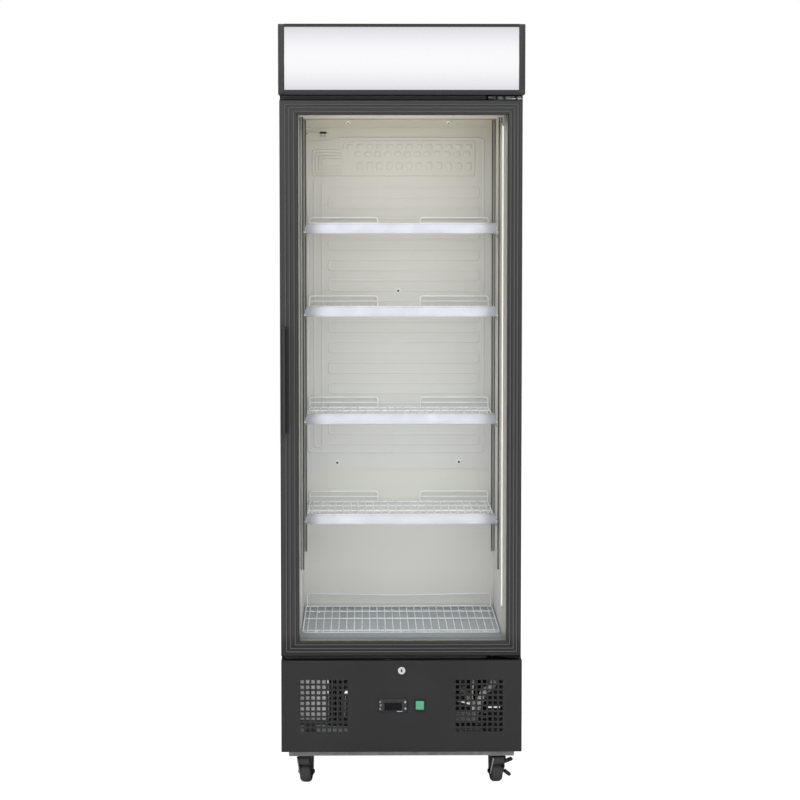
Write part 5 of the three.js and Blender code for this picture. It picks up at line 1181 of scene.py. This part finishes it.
outline = rounded(
    lens_x - LENS_HALF, lens_x + LENS_HALF, middle_z - LENS_BELOW, middle_z + LENS_ABOVE, 2 * MM, 3,
)
lens = Shape().prism(outline, face_y + 0.5 * MM, face_y + 1.2 * MM, "y")
piece(lens, "controller_lens", "cabinet", display_lens, "black_plastic", smooth=30, bevel=0.0002)
dots = Shape()
for x, z in DOTS:
    dots.turned(DOT, (ctrl_low.x + x * MM, face_y - 0.02 * MM, middle_z + z * MM), OUT, steps=16)
dash_low = (lens_x + DASH_FROM, face_y - 0.3 * MM, middle_z - DASH_BELOW)
dots.box(dash_low, (lens_x + LENS_HALF, face_y + 0.2 * MM, middle_z - DASH_BELOW + DASH_TALL))
piece(dots, "controller_dots", "cabinet", key_plastic, "key_plastic", smooth=40)
for key in ("controller_key_up", "controller_key_down"):
    low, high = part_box(key)
    radius, deep = (high.x - low.x) / 2, high.y - low.y
    dome = [
        (0, 0), (0.45 * radius, 0.1 * MM), (0.8 * radius, 0.45 * MM), (0.97 * radius, 1.1 * MM),
        (0.97 * radius, deep), (0, deep),
    ]
    button = Shape().turned(dome, ((low.x + high.x) / 2, low.y, (low.z + high.z) / 2), IN, steps=28)
    piece(button, key + "_cap", key, key_plastic, "key_plastic", smooth=50, stands_for=[key])
print("controller at", round(lens_x, 4), round(middle_z, 4))

# %% [markdown]
# ## Hinges
# The hinge plates keep their solids. Each gets two pan head screws through its flange. Hexagon
# heads are drawn here too: they close the ends of the castor axles.

# %% Screws of the hinges
FLANGE_MIDDLE = 4.8 * MM


def hexagon(shape, centre, out, width, height):
    """A hexagon head with its washer, turned in six steps so that the flats are true."""
    thick = 0.9 * MM
    shape.turned([(0, 0), (0.66 * width, 0), (0.66 * width, thick), (0, thick)], centre, out, steps=28)
    head = [
        (0, thick), (0.5 * width, thick), (0.5 * width, 0.85 * height), (0.42 * width, height), (0, height),
    ]
    return shape.turned(head, centre, out, steps=6)


bolts = Shape()
for name in ("hinge_top", "hinge_bottom"):
    low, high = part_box(name)
    flange_z = high.z - FLANGE_MIDDLE if name == "hinge_top" else low.z + FLANGE_MIDDLE
    for x in (low.x + 14 * MM, high.x - 26 * MM):
        screw(bolts, (x, high.y - 3.6 * MM, flange_z), OUT, 3.4 * MM, 2.0 * MM)
piece(bolts, "hinge_screws", "cabinet", zinc_plate, "zinc_plate", smooth=45)
print("hinges fastened")

# %% [markdown]
# ## Castors
# A castor wheel is turned: a tyre with round shoulders on a dished disc, with a hub that carries
# the axle. Each wheel is built about the axis of its own joint, so it rolls true. The fork is a
# pressed crown with two cheeks and a thread guard over the tyre, with a painted highlight: a bright
# strip along the front edge of its left cheek. The front right castor has a brake lever with two thick tabs.

# %% Castor wheels, forks, races and brake
joints = {joint["name"]: joint for joint in frame["joints"]}
CROWN_LOW, SHEET, CHEEK_IN, CROWN_HALF = 70.87 * MM, 3 * MM, 14.5 * MM, 24 * MM
CROWN_HIGH, CHEEK_OUT, SHOULDER = CROWN_LOW + SHEET, CHEEK_IN + SHEET, CROWN_LOW - SHEET
TRAIL, FORK_FOOT, AXLE_END, TYRE_HALF = 20 * MM, 11 * MM, 17.4 * MM, 13.8 * MM
GUARD_HALF, GUARD_FRONT, GUARD_STEP, GUARD_ROOF = CHEEK_IN - 0.5 * MM, -23 * MM, -11 * MM, 67.4 * MM
EDGE_X, EDGE_Y = -CHEEK_IN - SHEET / 2, -24.4 * MM
BRAKED, BRAKE_SIDE = "front_right", 1
LEVER_X, LEVER_Y, LEVER_UP = 17.8 * MM, 16 * MM, 12 * MM
LEVER_THICK, LEVER_HALF, TAB_HALF = 2.5 * MM, 6 * MM, 6.5 * MM
TYRE_EDGE = mm((0, 0), (0.05, 5), (0.6, 8.6), (2.2, 11.2), (4.6, 13.8))  # below the tread, off the middle
DISC = mm(  # radius, and how far beyond the side of the tyre
    (21.4, -0.2), (20.6, -1.4), (19.6, -3.0), (13.0, -3.4), (11.2, -2.4), (10.8, 0.6), (10.0, 1), (4.6, 1),
)
HUB = mm((4.6, 9.1), (12.6, 9.1), (11.6, 10.4), (4.6, 13.3))
RACE = mm((6.4, 0), (21, 0), (23, 1.2), (23, 2.6), (21.4, 3.2), (22.6, 3.8))
RACE_IN, RACE_OUT = 6.4 * MM, 22.2 * MM
AXLE = mm((0, -17.4), (4, -17.4), (4, 17.4), (0, 17.4))
BRAKE_PIN = mm((0, 0), (3, 0), (3, 3.2), (5.5, 3.2), (4.6, 5.0), (0, 5.4))
LEVER_RING = mm((3.2, 0), (9, 0), (9, 2.5), (3.2, 2.5))
TABS = (((4, 12), (22, 18.5), 8), ((4, -12), (16, -21), 9.6))  # two ends and the thickness, in mm


def wheel_profile(radius):
    right = [(radius - worn, off) for worn, off in TYRE_EDGE]
    right += [(r, TYRE_HALF + beyond) for r, beyond in DISC]
    return right + [(r, -h) for r, h in reversed(right[1:])]


def castor_frame(place):
    """Local axes of a castor: X along the axle, Y towards the trailing wheel, Z up, from its swivel pin."""
    pin = Vector(joints["castor_swivel_" + place]["pos_m"])
    centre = Vector(joints["castor_roll_" + place]["pos_m"])
    along = Vector((centre.x - pin.x, centre.y - pin.y, 0)).normalized()
    axle = along.cross(Vector(UP))
    turn = Matrix((axle, along, Vector(UP))).transposed().to_4x4()
    return Matrix.Translation((pin.x, pin.y, 0)) @ turn, centre, axle


def round_axle(radius, axle_z, start, sweep, steps):
    """Points of a side view on a circle about the axle, from an angle through a sweep."""
    turns = [math.radians(start + sweep * k / steps) for k in range(steps + 1)]
    return [(TRAIL + radius * math.cos(a), axle_z + radius * math.sin(a)) for a in turns]


def fork(axle_z):
    """Two cheeks, wide at the crown and round about the axle, under a flat crown."""
    side_view = [(-CROWN_HALF, CROWN_HIGH), (-CROWN_HALF, SHOULDER)]
    side_view += round_axle(FORK_FOOT, axle_z, 205, 150, 12)
    side_view += [(TRAIL + 15 * MM, SHOULDER), (CROWN_HALF, CROWN_HIGH)]
    made = Shape()
    for x0, x1 in ((-CHEEK_OUT, -CHEEK_IN), (CHEEK_IN, CHEEK_OUT)):
        made.prism(side_view, x0, x1, "x")
    return made.box((-CHEEK_OUT, -CROWN_HALF, CROWN_LOW), (CHEEK_OUT, CROWN_HALF, CROWN_HIGH))


def thread_guard(axle_z):
    side_view = [
        (GUARD_FRONT, CROWN_LOW), (GUARD_STEP, CROWN_LOW), (GUARD_STEP, GUARD_ROOF), (15 * MM, GUARD_ROOF),
    ]
    side_view += round_axle(31 * MM, axle_z, 84, 56, 8) + [(GUARD_FRONT, 57 * MM)]
    return Shape().prism(side_view, -GUARD_HALF, GUARD_HALF, "x")


def race_and_axle(place, axle_z, top):
    edge = [(r, CROWN_HIGH + up) for r, up in RACE] + [(RACE_OUT, top), (RACE_IN, top)]
    made = Shape().turned(edge, (0, 0, 0), UP, steps=48)
    made.turned(AXLE, (0, TRAIL, axle_z), (1, 0, 0), steps=20)
    for side in (-1, 1):
        if place == BRAKED and side == BRAKE_SIDE:
            pin = (side * AXLE_END, LEVER_Y, axle_z + LEVER_UP)
            made.turned(BRAKE_PIN, pin, (side, 0, 0), steps=20)
        else:
            hexagon(made, (side * AXLE_END, TRAIL, axle_z), (side, 0, 0), 12.4 * MM, 4.0 * MM)
    return made


for place in PLACES:
    local, centre, axle = castor_frame(place)
    wheel_node, fork_node = "castor_wheel_" + place, "castor_fork_" + place
    wheel = Shape().turned(wheel_profile(centre.z), centre, axle, steps=56)
    piece(wheel, "tyre_" + place, wheel_node, tyre_rubber, "wheel_rubber", smooth=35, stands_for=[wheel_node])
    hub = Shape()
    for side in (-1, 1):
        hub.turned(HUB, centre, axle * side, steps=40)
    piece(hub, "hub_" + place, wheel_node, black_plastic, "wheel_rubber", smooth=30)
    shield = thread_guard(centre.z).moved(local)
    piece(shield, "shield_" + place, fork_node, tyre_rubber, "wheel_rubber", smooth=30, bevel=0.0022)
    sheet = fork(centre.z).moved(local)
    piece(
        sheet, "fork_" + place, fork_node, fork_zinc, "zinc_plate", smooth=30, bevel=0.0007,
        stands_for=[fork_node],
    )
    # Painted highlight: a bright strip along the front edge of the left cheek only, at EDGE_X and EDGE_Y.
    edge = [(EDGE_Y, CROWN_LOW), (EDGE_Y, CROWN_LOW - 4 * MM), (TRAIL - 10.6 * MM, centre.z - 5 * MM)]
    glint_strip = Shape().tube(bent([(EDGE_X, y, z) for y, z in edge], 5 * MM), SHEET * 0.5).moved(local)
    piece(glint_strip, "edge_" + place, fork_node, fork_glint, "zinc_plate", smooth=60)
    race = race_and_axle(place, centre.z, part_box(fork_node)[1].z).moved(local)
    piece(race, "race_" + place, fork_node, fork_zinc, "zinc_plate", smooth=35)


def paddle(shape, start, end, thick):
    """A thick tab with a round end, seen from the front, that runs between two positions."""
    start, end = Vector(start), Vector(end)
    along = (end - start).normalized()
    across = Vector((-along.y, along.x)) * thick / 2
    outline = [tuple(start + across), tuple(start - across)]
    for k in range(9):
        a = math.pi * (k / 8 - 0.5)
        outline.append(tuple(end + along * math.cos(a) * thick / 2 + across * math.sin(a)))
    shape.rings([[(x, y, z) for x, z in outline] for y in (LEVER_Y - TAB_HALF, LEVER_Y + TAB_HALF)])


local, centre, axle = castor_frame(BRAKED)
lever_z = centre.z + LEVER_UP
lever = Shape().turned(LEVER_RING, (LEVER_X, LEVER_Y, lever_z), (1, 0, 0), steps=28)
for z0, z1 in mm((3.4, 13), (-13, -3.4)):
    corner = (LEVER_X + LEVER_THICK, LEVER_Y + LEVER_HALF, lever_z + z1)
    lever.box((LEVER_X, LEVER_Y - LEVER_HALF, lever_z + z0), corner)
for start, end, thick in TABS:
    ends = [(LEVER_X + x * MM, lever_z + z * MM) for x, z in (start, end)]
    paddle(lever, *ends, thick * MM)
lever.moved(local)
piece(
    lever, "brake_tabs", "brake_lever", black_plastic, "black_plastic", smooth=35, bevel=0.0008,
    stands_for=["brake_lever"],
)
print("castors", len(PLACES))

# %% [markdown]
# ## Machine compartment
# The grilles and the rear guard let one see the condenser, the fan, the compressor and the drip
# tray. The condenser is a stack of thin fins on two banks of tube, with U bends at one end.

# %% Condenser
cond_low, cond_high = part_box("condenser")
cond_x0, cond_x1 = cond_low.x + 15 * MM, cond_high.x
FIN_PITCH, FIN_HALF, END_PLATE = 6 * MM, 0.15 * MM, 1.6 * MM
TUBE, TUBE_PITCH, BANK_IN, BEND_OUT = 3.6 * MM, 26 * MM, 14 * MM, 9 * MM

fins = Shape()
for x in spread(cond_x0 + 4 * MM, cond_x1 - 4 * MM, FIN_PITCH):
    fins.box(
        (x - FIN_HALF, cond_low.y, cond_low.z + 1 * MM), (x + FIN_HALF, cond_high.y, cond_high.z - 1 * MM),
    )
for x in (cond_x0, cond_x1 - END_PLATE):
    fins.box((x, cond_low.y, cond_low.z), (x + END_PLATE, cond_high.y, cond_high.z))
piece(
    fins, "condenser_fins", "cabinet", fin_aluminium, "galvanised_steel", smooth=0, stands_for=["condenser"],
)
tubes = Shape()
rows_z = spread(cond_low.z + 18 * MM, cond_high.z - 18 * MM, TUBE_PITCH)
for bank, y in enumerate((cond_low.y + BANK_IN, cond_high.y - BANK_IN)):
    inside, outside = cond_x0 + 1 * MM, cond_x0 - BEND_OUT
    for row, (z, above) in enumerate(zip(rows_z, rows_z[1:])):
        if (row + bank) % 2 == 0:
            bend = [(inside, y, z), (outside, y, z), (outside, y, above), (inside, y, above)]
            tubes.tube(bent(bend, 11 * MM, steps=6), TUBE, sides=10)
    for z in rows_z:
        tubes.tube([(inside, y, z), (cond_x1 - 1 * MM, y, z)], TUBE, sides=8)
piece(tubes, "condenser_tubes", "cabinet", copper_tube, "condenser_copper", smooth=60)
print("condenser tubes", len(rows_z) * 2)

# %% Air baffle, seals, rails and the pipes behind the grilles
LEFT, BAFFLE_SHEET, BAFFLE_FOLD = -0.286, 0.8 * MM, 16 * MM
RAIL_LOW, RAIL_HIGH = 0.1290, 0.1440
SLEEVE = [
    (0.238, -0.246, 0.326), (0.238, -0.248, 0.258), (0.212, -0.249, 0.246), (0.200, -0.249, 0.205),
    (0.197, -0.215, 0.188), (0.190, -0.120, 0.188), (0.176, 0.020, 0.190), (0.172, 0.085, 0.192),
]
CABLE = [
    (0.186, -0.256, 0.330), (0.186, -0.258, 0.262), (0.181, -0.258, 0.226), (0.196, -0.256, 0.212),
    (0.190, -0.240, 0.207), (0.150, -0.180, 0.207),
]
PROBE_LEAD = [(-0.1462, -0.240, 0.177), (-0.1452, -0.240, 0.236)]

face = cond_low.y
skin = face - 0.2 * MM
baffle = boxes(
    ((LEFT, face - 1 * MM, cond_low.z), (cond_x0 - 6 * MM, skin, cond_high.z)),
    ((LEFT, skin, cond_low.z), (LEFT + BAFFLE_SHEET, face + BAFFLE_FOLD, cond_high.z)),
)
piece(baffle, "air_baffle", "cabinet", baffle_sheet, "galvanised_steel", smooth=0, bevel=0.0003)
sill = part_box("base_front_panel")[1].z
# The seal is painted lighter than its rubber, as painted light in the shaded gap under the door.
seal = Shape().box((-0.300, -0.258, sill + 0.4 * MM), (0.2195, -0.238, sill + 7.4 * MM))
piece(seal, "panel_seal", "cabinet", seal_rubber_painted_light, "gasket_rubber", smooth=30, bevel=0.0015)
# The trim is painted lighter than the charcoal around it, as painted light in the canopy's shade.
trim = Shape().box((-0.305, -0.266, DOOR_HIGH.z + 1.4 * MM), (0.2155, -0.2362, DOOR_HIGH.z + 12.4 * MM))
piece(trim, "canopy_trim", "cabinet", trim_painted_light, "cabinet_paint", smooth=30, bevel=0.001)
rail = boxes(
    ((LEFT, face - 6 * MM, RAIL_LOW), (cond_x1, face - 3 * MM, RAIL_HIGH)),
    ((0.136, -0.238, RAIL_LOW), (0.206, -0.235, RAIL_HIGH)),
    ((0.136, -0.238, 0.1650), (0.200, -0.235, 0.1875)),
    ((0.1365, -0.2346, RAIL_LOW), (0.1385, -0.2150, 0.1875)),
)
piece(rail, "foot_rails", "cabinet", galvanised_sheet, "galvanised_steel", smooth=0, bevel=0.0005)
capacitor = boxes(
    ((-0.284, face - 40 * MM, 0.170), (-0.265, face - 8 * MM, 0.206)),
    ((-0.278, face - 38 * MM, 0.206), (-0.270, face - 14 * MM, 0.214)),
    ((LEFT, face - 6 * MM, 0.1475), (cond_x1, face - 3 * MM, 0.1600)),
    ((-0.2515, face - 12 * MM, RAIL_LOW), (-0.2245, face - 6 * MM, 0.1600)),
)
piece(capacitor, "capacitor_box", "cabinet", black_plastic, "black_plastic", smooth=30, bevel=0.002)
pipe = Shape().tube(bent(SLEEVE, 14 * MM, steps=6), 9 * MM, sides=16)
pipe.tube(bent(CABLE, 9 * MM, steps=5), 2.6 * MM, sides=8)
pipe.tube(PROBE_LEAD, 1.4 * MM, sides=8)
piece(pipe, "insulated_pipe", "cabinet", insulation_white, "probe_plastic", smooth=60)
print("baffle, seals, rails and pipes placed")

# %% Fan and its shroud
fan_low, fan_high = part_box("condenser_fan")
fan_centre = Vector(joints["fan_spin"]["pos_m"])
fan_x, fan_mid, fan_z = fan_centre.x, (fan_low.y + fan_high.y) / 2, fan_centre.z
TIP, ROOT_RADIUS = (fan_high.z - fan_low.z) / 2 - 1.5 * MM, 16 * MM
BLADES, ALONG, ACROSS = 5, 8, 6  # blades, and the steps of the grid on each
HALF_DEEP, CAMBER, HALF_SHEET = 8.0 * MM, 2.2 * MM, 0.6 * MM
FAN_HUB = mm((3.9, -9), (17, -9), (19.5, -6.5), (19.5, 9), (3.9, 9))


def blade_rows(turn):
    """A grid of points over one blade, about the shaft: it widens, sweeps and flattens to its tip."""
    for k in range(ALONG + 1):
        t = k / ALONG
        r = ROOT_RADIUS + (TIP - ROOT_RADIUS) * t
        width, sweep = math.radians(30 + 16 * t), math.radians(14) * t
        for j in range(ACROSS + 1):
            u = j / ACROSS - 0.5
            a = turn + sweep + u * width
            rise = u * 2 * HALF_DEEP * (1 - 0.25 * t) + CAMBER * (1 - 4 * u * u)
            yield Vector((math.cos(a) * r, rise, math.sin(a) * r))


fan = Shape()
wide = ACROSS + 1
cells = [r * wide + j for r in range(ALONG) for j in range(ACROSS)]
for blade in range(BLADES):
    points = list(blade_rows(2 * math.pi * blade / BLADES))
    for thick in (-HALF_SHEET, HALF_SHEET):
        faces = [(i, i + 1, i + 1 + wide, i + wide) for i in cells]
        if thick > 0:
            faces = [face[::-1] for face in faces]
        fan.add([Vector((fan_x + p.x, fan_mid + p.y + thick, fan_z + p.z)) for p in points], faces)
fan.turned(FAN_HUB, (fan_x, fan_mid, fan_z), IN, steps=36)
piece(
    fan, "fan_blades", "condenser_fan", fin_aluminium, "galvanised_steel", smooth=50,
    stands_for=["condenser_fan"],
)
dress(black_plastic, "fan_shroud", bevel=0.0004)

# %% [markdown]
# The compressor is a drawn steel can in two halves with a welded seam. It stands on rubber feet,
# and the suction and discharge tubes leave it in copper.

# %% Compressor and its tubes
comp_low, comp_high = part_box("compressor")
cx, cy, foot = (comp_low.x + comp_high.x) / 2, comp_high.y - 74 * MM, comp_low.z
CAN = mm(
    (0, 12), (46, 14), (66, 24), (71.5, 44), (71.5, 84), (73.6, 86), (73.6, 91), (71.5, 93), (71.5, 124),
    (66, 146), (50, 159), (24, 164.4), (0, 165),
)
RUBBER = mm((0, 0), (9, 0), (9.5, 2), (8, 4), (9.5, 6), (9, 8), (0, 8))
FEET_X, FEET_Y = 68 * MM, 37 * MM
BAR_LONG, BAR_HALF, BAR_LOW, BAR_HIGH = 81 * MM, 11 * MM, 8 * MM, 12 * MM
PIPE_TURN, PIPE_END = 0.075, 0.046
PIPES = (  # offset on the can, depth below the top of the box, Y of the far end
    (-30 * MM, 6 * MM, -0.150), (30 * MM, 16 * MM, -0.176),
)

can = Shape().turned([(r, foot + z) for r, z in CAN], (cx, cy, 0), UP, steps=56)
piece(
    can, "compressor_can", "cabinet", compressor_enamel, "compressor_paint", smooth=45,
    stands_for=["compressor"],
)
bars, rubbers = Shape(), Shape()
for y in (cy - FEET_Y, cy + FEET_Y):
    bars.box((cx - BAR_LONG, y - BAR_HALF, foot + BAR_LOW), (cx + BAR_LONG, y + BAR_HALF, foot + BAR_HIGH))
piece(bars, "compressor_feet", "cabinet", compressor_enamel, "compressor_paint", smooth=30, bevel=0.001)
for x in (cx - FEET_X, cx + FEET_X):
    for y in (cy - FEET_Y, cy + FEET_Y):
        rubbers.turned(RUBBER, (x, y, foot), UP, steps=20)
piece(rubbers, "compressor_rubbers", "cabinet", black_plastic, "black_plastic", smooth=35)
terminal = Shape().box(
    (cx - 25 * MM, comp_low.y, foot + 35 * MM), (cx + 25 * MM, cy - 68 * MM, foot + 94 * MM),
)
piece(terminal, "terminal_cover", "cabinet", black_plastic, "black_plastic", smooth=30, bevel=0.003)
pipes = Shape()
for off, down, goal_y in PIPES:
    x, top = cx + off, comp_high.z - down
    path = [(x, cy, foot + 158 * MM), (x, cy, top), (PIPE_TURN, cy - 0.03, top)]
    path += [(PIPE_TURN, goal_y, top), (PIPE_END, goal_y, top)]
    pipes.tube(bent(path, 16 * MM, steps=6), 3.6 * MM, sides=10)
piece(pipes, "compressor_pipes", "cabinet", copper_tube, "condenser_copper", smooth=60)
print("compressor at", round(cx, 3), round(cy, 3))

# %% [markdown]
# ## Floor, light and camera
# The floor is pale and plain. For the camera it glows a little, which lifts it to the white of the
# background and leaves a faint contact shadow. The light is a soft overcast: a white world and
# three large panels. Three small ones inside the cabinet stand for the glow of its lamp, and one
# behind the base panel for the daylight that its grilles let in.

# %% Floor and world
FLOOR_GLOW, FLOOR_REACH = 0.78, 9


def floor():
    finish = Finish("floor", (0.86, 0.86, 0.87), 0.6, specular=0.1)
    grain = finish.noise(0.4, detail=3)
    finish.set(roughness=0.55 + grain * 0.1)
    finish.set(base_color=finish.blend(grain, (0.85, 0.85, 0.86), (0.88, 0.88, 0.885)))
    tree = finish.tree
    path = finish.node("LightPath", output="Is Camera Ray")
    glow = finish.node("Emission", Color=(1.0, 1.0, 1.0), Strength=1.3)
    mix = tree.nodes.new("ShaderNodeMixShader")
    feed(tree, mix.inputs[0], path * FLOOR_GLOW)
    tree.links.new(finish.shader.outputs[0], mix.inputs[1])
    tree.links.new(glow.socket, mix.inputs[2])
    tree.links.new(mix.outputs[0], tree.nodes["Material Output"].inputs["Surface"])
    mesh = bpy.data.meshes.new("floor")
    corners = [(x * FLOOR_REACH, y * FLOOR_REACH, 0) for x, y in ((-1, -1), (1, -1), (1, 1), (-1, 1))]
    mesh.from_pydata(corners, [], [(0, 1, 2, 3)])
    mesh.materials.append(finish.material)
    made = bpy.data.objects.new("floor", mesh)
    bpy.context.scene.collection.objects.link(made)
    made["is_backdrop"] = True


floor()

world = bpy.data.worlds.new("overcast")
bpy.context.scene.world = world
world.use_nodes = True
links = world.node_tree.links
background = world.node_tree.nodes["Background"]
seen = world.node_tree.nodes.new("ShaderNodeLightPath")
level = world.node_tree.nodes.new("ShaderNodeMix")
level.data_type = "FLOAT"
level.inputs[2].default_value = 0.55
level.inputs[3].default_value = 1.0
links.new(seen.outputs["Is Camera Ray"], level.inputs[0])
links.new(level.outputs[0], background.inputs["Strength"])
background.inputs["Color"].default_value = (1, 1, 1, 1)
bpy.context.scene.view_settings.view_transform = "Standard"


# %% Lights
def panel_light(name, place, aim, width, height, power, colour=(1, 1, 1)):
    data = bpy.data.lights.new(name, "AREA")
    data.shape = "RECTANGLE"
    data.size, data.size_y = width, height
    data.energy = power
    data.color = colour
    made = bpy.data.objects.new(name, data)
    made.location = place
    made.rotation_euler = (Vector(aim) - Vector(place)).to_track_quat("-Z", "Y").to_euler()
    made.visible_camera = False
    bpy.context.scene.collection.objects.link(made)
    return made


WARM = (1.0, 0.98, 0.92)
panel_light("front_soft", (-0.6, -3.6, 3.4), (0, 0, 0.9), 2.6, 2.0, 60)
panel_light("top_soft", (0, 0.2, 4.2), (0, 0, 0), 3.0, 3.0, 50)
for unseen in (
    panel_light("level_front", (0.9, -4.6, 1.5), (0, 0, 1.0), 1.6, 1.6, 26),
    panel_light("machine_soft", (0, -0.226, 0.20), (0, 0.2, 0.20), 0.56, 0.19, 0.30),
    panel_light("inside_soft", (0, -0.222, 1.08), (0, 0.25, 1.08), 0.44, 1.24, 2.5, (1.0, 0.998, 0.99)),
    panel_light("inside_roof", (0, 0.0, 1.722), (0, 0.02, 0), 0.40, 0.30, 0.25, WARM),
    panel_light("ceiling_soft", (0, -0.05, 1.50), (0, 0.02, 1.73), 0.40, 0.25, 0.34, WARM),
):
    unseen.visible_glossy = False  # they would show as hard patches in glass and metal

# %% Camera
camera_data = bpy.data.cameras.new("camera")
camera_data.sensor_width = 36
camera_data.lens = 122.2
camera_data.clip_end = 60
camera = bpy.data.objects.new("camera", camera_data)
camera.location = (-0.0996, -7.2, 1.556)
camera.rotation_euler = Vector((0.01376, 0.9967, -0.07943)).to_track_quat("-Z", "Y").to_euler()
bpy.context.scene.collection.objects.link(camera)
bpy.context.scene.camera = camera

# %% Finish
low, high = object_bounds()
print("size", [round(v, 4) for v in (*low, *high)])
